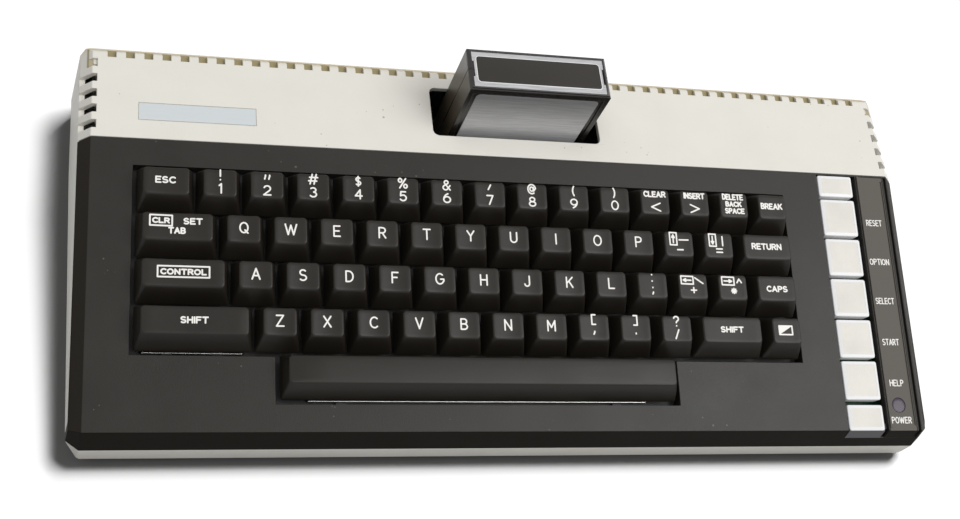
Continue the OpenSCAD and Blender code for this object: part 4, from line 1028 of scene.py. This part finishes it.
def keep_flats_flat(mesh):
    """Sets the corner normals: flat faces stay flat, and the rounded edges blend between them."""
    around = [[] for vertex in mesh.vertices]
    for face in mesh.polygons:
        for vertex in face.vertices:
            around[vertex].append(face)
    normals = [None] * len(mesh.loops)
    for face in mesh.polygons:
        small = face.area < SMALL_FACE
        for loop in face.loop_indices:
            beside = around[mesh.loops[loop].vertex_index]
            flats = [other for other in beside if other.material_index != ROUNDED]
            if face.material_index == ROUNDED:
                near = [other for other in flats if alike(face, other, ROUNDED_TURN)]
                near = near or [other for other in beside if alike(face, other, ROUNDED_TURN)]
            else:
                near = [other for other in flats if alike(
                    face, other, CURVED_TURN if small and other.area < SMALL_FACE else SAME_TURN)]
            total = sum((other.normal * other.area for other in near), Vector())
            normals[loop] = total.normalized() if total.length else face.normal.copy()
    mesh.normals_split_custom_set(normals)


def alike(one, other, turn):
    """True if two faces look the same way within a turn in degrees."""
    return one.normal.dot(other.normal) > math.cos(math.radians(turn))


class COMPUTER_OT_shells(bpy.types.Operator):
    """Rounds the moulded edges of the case, its base, the keyboard surround and the panel"""
    bl_idname = "computer.shells"
    bl_label = "Case shells"

    def execute(self, context):
        soft = context.scene.computer_case.soft_edge
        softened("top_case", soft, skin=self.wider_slots())
        softened("bottom_case", soft)
        # The front band and the flanks, and the panel's front wall too, take darker copies of their
        # plastic: painted shade.
        softened("keyboard_bezel", soft, finishes=("bezel_brown", "bezel_front_painted_shade", "bezel_flank_painted_shade"),
                 choose=self.bezel_part)
        softened("label_panel", 0.2, finishes=("label_dark", "bezel_front_painted_shade"),
                 choose=self.front_wall)
        softened("nameplate", 0.1)
        softened("feet", 0.4, shortest=0.3)
        softened("power_rocker", 0.3, body="power_rocker", shortest=1.0)
        return {"FINISHED"}

    def wider_slots(self):
        """The top half's mesh with its side slots opened further to the front."""
        bm = bmesh.new()
        wide, overlap = 14, 0.4
        for i, depth in enumerate(SLOT_DEPTHS):
            low, high = LEVEL_DECK_Z - depth, LEVEL_DECK_Z + 1
            back = SLOT_Y + SLOT_PITCH * i
            for side in (-1, 1):
                size = Vector((wide, SLOT_WIDER + overlap, high - low)) * MM
                middle = Vector((side * (DECK_HALF + 5), back - SLOT_WIDER / 2 + overlap / 2,
                                 (high + low) / 2)) * MM
                place = Matrix.Translation(middle) @ Matrix.Diagonal((*size, 1))
                bmesh.ops.create_cube(bm, size=1.0, matrix=place)
        cutter_mesh = bpy.data.meshes.new("slot_cutter")
        bm.to_mesh(cutter_mesh)
        bm.free()
        cutter = linked("slot_cutter", cutter_mesh)
        holder = linked("slot_holder", NODES["top_case"].data.copy())
        cut = holder.modifiers.new("Slots", "BOOLEAN")
        cut.object = cutter
        cut.solver = "EXACT"
        return baked(holder, cutter)

    def bezel_part(self, at, normal):
        """Index of the finish: 1 on the front band and 2 on the flanks, which take darker, less
        glossy copies of the brown as painted shade, and 0 on all the rest.
        """
        flank = abs(normal.x) > WALL_LEAN and abs(at.x) > DECK_HALF
        return self.front_wall(at, normal) or (2 if flank else 0)

    def front_wall(self, at, normal):
        """Index of the finish: 1 on the band round the front wall and its corners, which takes a
        darker copy of the plastic as painted shade, or 0.
        """
        return 1 if normal.y < -WALL_LEAN and at.y < FRONT_Y else 0


# ======== console strip ========

BUTTON_FINISHES = ("button_silver", "button_face")
# How far inside the border the second finish starts
MIDDLE_FROM = 0.41


def bordered(bm, half, front, rear, top, border, low, hollow=None):
    """A plate whose bevelled border rises to a flat middle, which takes the second finish."""
    def ring(inset, z, radius):
        return [(x, y, z) for x, y in outline(half - inset, front + inset, rear - inset, radius, 1)]

    rings = [ring(1.4, hollow, 0.4), ring(1.4, low, 0.4)] if hollow else []
    rings += [
        ring(0, low, 0.9), ring(0, top - 0.85, 0.9), ring(0.06, top - 0.65, 0.9),
        ring(0.2, top - 0.5, 0.85), ring(0.4, top - 0.42, 0.8),
        ring(0.4 + border, top, 0.5), ring(0.46 + border, top - 0.09, 0.5),
    ]
    bridge(bm, rings)
    edge = border + MIDDLE_FROM
    for face in bm.faces:
        inside = all(abs(v.co.x) < half - edge and front + edge < v.co.y < rear - edge
                     for v in face.verts)
        if inside and face.calc_center_median().z > 0.0:
            face.material_index = 1


class COMPUTER_OT_console(bpy.types.Operator):
    """Makes the console buttons, the fillers, the lamp and the words beside them"""
    bl_idname = "computer.console"
    bl_label = "Console strip"

    def execute(self, context):
        console = context.scene.computer_console
        for node, s in zip(BUTTONS, BUTTON_S):
            self.button(console, node, s)
        self.fillers(console)
        self.words(console)
        self.lamp()
        return {"FINISHED"}

    def button(self, console, node, s):
        """A hollow button on its post."""
        half, deep = console.width / 2, console.length / 2
        bm = bmesh.new()
        bordered(bm, half, -deep, deep, console.proud, console.border, -5.2, hollow=-1.6)
        block(bm, (-1.5, -1.5, -5.2), (1.5, 1.5, -1.5))
        block(bm, (1 - half, -0.6, -4), (half - 1, 0.6, -1.5))
        mesh = mesh_from(bm, node + "_cap", DECK @ Matrix.Translation((BUTTON_X, s, 0)))
        piece(node + "_cap", mesh, node, "button_silver", finishes=BUTTON_FINISHES,
              replaces=(node,))

    def fillers(self, console):
        """The two fixed plates that end the strip, the front one with its tab."""
        half, skin = console.width / 2, 1.4
        bm = bmesh.new()
        for low, high in FILLERS:
            bordered(bm, half, low, high, console.proud, console.border, -4.8)
            block(bm, (-1, low + 3, -10), (1, low + 4.6, -4.7))
        mesh = mesh_from(bm, "filler_plates", DECK @ Matrix.Translation((BUTTON_X, 0, 0)))
        piece("filler_plates", mesh, "case", "button_silver", finishes=BUTTON_FINISHES,
              replaces=("strip_fillers",))
        tab = ((NOSE_Y, NOSE_Z - 0.2), (TAB_Y, TAB_Z), (TAB_Y + skin, TAB_Z),
               (NOSE_Y + skin, NOSE_Z - 0.2))
        bm = bmesh.new()
        bridge(bm, [[(x, y, z) for y, z in tab] for x in (BUTTON_X - half, BUTTON_X + half)])
        # The tab takes a dark grey copy of the silver: painted shade.
        piece("filler_tab", mesh_from(bm, "filler_tab", PART), "case", "button_silver",
              finishes=("tab_painted_shade",))

    def words(self, console):
        """The words printed on the label panel."""
        bm = bmesh.new()
        step = [0]
        for word, s, wide in WORDS:
            draw(bm, word, (WORD_X, s), (wide, console.word_height), console.word_stroke,
                 lambda x, y: 0.0, step)
        piece("panel_words", mesh_from(bm, "panel_words", DECK), "case", "label_dark",
              finishes=("sign_white",))

    def lamp(self):
        """The lamp's domed lens on its collar and its two legs."""
        profile = ((3.8, -9.0), (3.8, -7.8), (3.3, -7.8), (3.3, -0.35), (3.18, -0.12), (2.8, 0.0),
                   (2.0, 0.06), (1.0, 0.09))
        bm = bmesh.new()
        bridge(bm, [[(x, y, z) for x, y in circle(radius, 40)] for radius, z in profile])
        for side in (-1.27, 1.27):
            block(bm, (side - 0.25, -0.25, -13), (side + 0.25, 0.25, -8.9))
        mesh = mesh_from(bm, "lamp_lens", DECK @ Matrix.Translation((LAMP_X, LAMP_S, 0)))
        piece("lamp_lens", mesh, "case", "led_purple", replaces=("power_led",))


# ======== cartridge ========

class COMPUTER_OT_cartridge(bpy.types.Operator):
    """Rounds the cartridge's shells and lays its end plate and face plate into them"""
    bl_idname = "computer.cartridge"
    bl_label = "Cartridge"

    def execute(self, context):
        for node in ("cartridge_front_shell", "cartridge_back_shell"):
            softened(node, 0.45, body="cartridge", shortest=1.0,
                     finishes=("cartridge_black", "cartridge_brown"), choose=self.side_face)
        self.end_plate()
        self.face_plate()
        return {"FINISHED"}

    def side_face(self, at, normal):
        """Index of the finish: 1 on the matt sides of the cartridge, 0 on all that is glossy."""
        return 1 if abs(normal.x) > 0.98 and abs(at.x - CART_X) > CART_W / 2 - 0.1 else 0

    def end_plate(self):
        """A notched silver frame round a bare dark panel with a fine line."""
        half, deep, low, top = CART_W / 2 - 1.5, CART_T / 2 - 1.6, CART_TOP - 0.8, CART_TOP - 0.3
        notch, cut, soft, corner = 1.1, 4.0, 0.12, 0.3

        def frame_ring(inset, z):
            x, y, gap = half - inset, deep - inset, cut - inset
            edge = [(x - corner, -y), (x, -y + corner), (x, -gap), (x - notch, -gap),
                    (x - notch, gap), (x, gap), (x, y - corner), (x - corner, y)]
            return [(px, py, z) for px, py in edge + [(-px, -py) for px, py in edge]]

        bm = bmesh.new()
        bridge(bm, [frame_ring(0, low), frame_ring(0, top - soft), frame_ring(soft, top)])
        piece("end_plate", mesh_from(bm, "end_plate", CARTRIDGE), "cartridge", "label_foil",
              replaces=("cartridge_label",))
        for name, inset, z, radius, finish in (
                ("end_plate_line", 2.0, top + 0.05, 1.7, "label_line"),
                ("end_plate_panel", 2.32, top + 0.09, 1.4, "panel_dark")):
            rings = []
            for level, back in ((top - 0.2, inset), (z - 0.03, inset), (z, inset + 0.04)):
                ring = outline(half - back, -deep + back, deep - back, radius, 1)
                rings.append([(x, y, level) for x, y in ring])
            bm = bmesh.new()
            bridge(bm, rings)
            mesh = mesh_from(bm, name, CARTRIDGE)
            piece(name, mesh, "cartridge", "label_foil", finishes=(finish,))

    def face_plate(self):
        """The brushed plate on the front face, with its two upper corners rounded. Its foil is a
        lighter copy of the end plate's foil, as painted light, that darkens towards the top as
        painted shade.
        """
        half, low, high = CART_W / 2 - 4, 33.0, CART_TOP - 5
        radius, front, back = 2.0, -CART_T / 2 + 0.4, -CART_T / 2 + 0.7

        def sheet(inset, y):
            x, top = half - inset, high - inset
            upper = arc(x - radius, top - radius, radius, radius, 0, 90)
            upper += arc(-x + radius, top - radius, radius, radius, 90, 180)
            return [(px, y, pz) for px, pz in upper + [(-x, low + inset), (x, low + inset)]]

        bm = bmesh.new()
        bridge(bm, [sheet(0, back), sheet(0, front + 0.1), sheet(0.1, front)])
        piece("face_plate", mesh_from(bm, "face_plate", CARTRIDGE), "cartridge", "label_foil",
              finishes=("face_foil_painted_light",))


# ======== slot and sockets ========

class COMPUTER_OT_slot(bpy.types.Operator):
    """Rounds the edges of the two doors in the cartridge slot"""
    bl_idname = "computer.slot"
    bl_label = "Cartridge slot"

    def execute(self, context):
        for node in ("slot_door_front", "slot_door_rear"):
            softened(node, 0.25, body=node, shortest=2.5)
        return {"FINISHED"}


def pins(middle, rows, pitch):
    """Where a socket's pins stand, across and up, from the rise and count of each row."""
    return [(middle + (i - (count - 1) / 2) * pitch, SOCKET_Z + rise)
            for rise, count in rows for i in range(count)]


SOCKET_Z = 24.5
PIN_REACH = 0.7
SOCKET_FINISHES = ("socket_black", "tin_plate", "contact_gold")
NINE_WAY = ((1.42, 5), (-1.42, 4))
RIGHT_FACE, RIGHT_PINS = 176.55, pins(15.2, NINE_WAY, 2.77) + pins(53.2, NINE_WAY, 2.77)
REAR_FACE, REAR_PINS = 70.25, pins(-105, ((2, 7), (-2, 6)), 3.2)


class COMPUTER_OT_sockets(bpy.types.Operator):
    """Gives the sockets their metal shells and gilt pins"""
    bl_idname = "computer.sockets"
    bl_label = "Sockets"

    def execute(self, context):
        softened("controller_ports", 0.15, finishes=SOCKET_FINISHES, choose=self.on_the_right)
        softened("peripheral_port", 0.15, finishes=SOCKET_FINISHES, choose=self.on_the_rear)
        softened("power_jack", 0.3)
        softened("power_switch", 0.3)
        return {"FINISHED"}

    def on_the_right(self, at, normal):
        """Index of the finish at a point of a nine-way socket."""
        return self.shell_or_pin(at.y, at.z, RIGHT_PINS) if at.x >= RIGHT_FACE else 0

    def on_the_rear(self, at, normal):
        """Index of the finish at a point of the thirteen-way socket."""
        return self.shell_or_pin(at.x, at.z, REAR_PINS) if at.y >= REAR_FACE else 0

    def shell_or_pin(self, across, up, places):
        """2 at a pin, and 1 on the shell round the pins."""
        return 2 if any(math.hypot(across - x, up - z) < PIN_REACH for x, z in places) else 1


# ======== stage ========

class COMPUTER_OT_stage(bpy.types.Operator):
    """Builds the finishes, the table top, the lights and the camera"""
    bl_idname = "computer.stage"
    bl_label = "Stage"

    def execute(self, context):
        scene = context.scene
        look = scene.computer_stage
        build_finishes(scene)
        table = self.table_top(look)
        on_the_part = self.lit("lit_part", table, "EXCLUDE")
        on_the_table = self.lit("lit_table", table, "INCLUDE")
        self.area("main_light", (1.70, -0.72, 2.70), 2.2, look.main_power, on_the_part)
        fill = self.area("fill_light", (-0.4, 0.5, 3.1), 2.6, look.fill_power, on_the_part)
        fill.visible_glossy = False
        self.area("table_light", (0.74, 0.62, 3.0), 0.8, look.table_power, on_the_table)
        self.sky(scene, look)
        self.camera(scene, look)
        scene.view_settings.view_transform = "Standard"
        return {"FINISHED"}

    def table_top(self, look):
        """A pale table top just under the feet."""
        mesh = bpy.data.meshes.new("table_top")
        reach = 3.0
        mesh.from_pydata([(-reach, -reach, 0), (reach, -reach, 0), (reach, reach, 0),
                          (-reach, reach, 0)], [], [(0, 1, 2, 3)])
        made = linked("table_top", mesh)
        paper, tree, shader, at = new_material("table_paper")
        bounced = add(tree, "ShaderNodeLightPath", {})["Is Diffuse Ray"]
        feed(tree, shader, {
            "Roughness": 0.9, "Specular IOR Level": 0.1,
            "Base Color": mixed(tree, bounced, rgba(look.floor), rgba(look.floor_bounce))})
        mesh.materials.append(paper)
        return made

    def lit(self, name, table, state):
        """A set of receivers for a lamp: the table top alone, or all but the table top."""
        made = bpy.data.collections.new(name)
        made.objects.link(table)
        made.collection_objects[0].light_linking.link_state = state
        return made

    def area(self, name, spot, size, power, receivers):
        """A soft square light that faces the part. Returns its object."""
        light = bpy.data.lights.new(name, "AREA")
        light.energy = power
        light.size = size
        made = linked(name, light)
        made.location = spot
        made.rotation_euler = (-Vector(spot)).to_track_quat("-Z", "Y").to_euler()
        made.light_linking.receiver_collection = receivers
        return made

    def sky(self, scene, look):
        """Even light from all round, which the camera and reflections see as white."""
        world = bpy.data.worlds.new("studio_sky")
        scene.world = world
        world.use_nodes = True
        tree = world.node_tree
        bounced = add(tree, "ShaderNodeLightPath", {})["Is Diffuse Ray"]
        feed(tree, tree.nodes["Background"], {
            "Color": WHITE, "Strength": ranged(tree, bounced, 0.0, 1.0, 1.0, look.sky)})

    def camera(self, scene, look):
        """The camera, as a lens shift and a place above the front left."""
        view = bpy.data.cameras.new("camera")
        view.lens = look.lens
        view.sensor_width = 36.0
        view.shift_x, view.shift_y = 0.042026, -0.039985
        view.clip_start, view.clip_end = 0.05, 20.0
        made = linked("camera", view)
        made.location = Vector((-193.378, -266.554, 547.590)) * MM
        made.rotation_euler = Euler([math.radians(a) for a in (28.92320, -14.40223, -5.42377)])
        scene.camera = made


# ======== panel ========

class COMPUTER_PT_dressing(bpy.types.Panel):
    """Lists the steps of the dressing and their settings"""
    bl_label = "Home Computer"
    bl_space_type = "VIEW_3D"
    bl_region_type = "UI"
    bl_category = "Computer"

    def draw(self, context):
        for step in STEPS:
            self.layout.operator(step.bl_idname)


STEPS = (
    COMPUTER_OT_stage, COMPUTER_OT_case, COMPUTER_OT_shells, COMPUTER_OT_key_caps,
    COMPUTER_OT_legends, COMPUTER_OT_console, COMPUTER_OT_cartridge, COMPUTER_OT_slot,
    COMPUTER_OT_sockets,
)
SETTINGS = {
    "computer_keys": KeySettings, "computer_case": CaseSettings,
    "computer_console": ConsoleSettings, "computer_cartridge": CartridgeSettings,
    "computer_stage": StageSettings,
}


def register():
    """Registers the settings, the operators and the panel."""
    for name, group in SETTINGS.items():
        bpy.utils.register_class(group)
        setattr(bpy.types.Scene, name, PointerProperty(type=group))
    for made in (*STEPS, COMPUTER_PT_dressing):
        bpy.utils.register_class(made)


def unregister():
    """Takes back what register added."""
    for made in (COMPUTER_PT_dressing, *reversed(STEPS)):
        bpy.utils.unregister_class(made)
    for name, group in SETTINGS.items():
        delattr(bpy.types.Scene, name)
        bpy.utils.unregister_class(group)


def main():
    """Runs every step in order."""
    register()
    for step in STEPS:
        family, name = step.bl_idname.split(".")
        getattr(getattr(bpy.ops, family), name)()


if __name__ == "__main__":
    main()
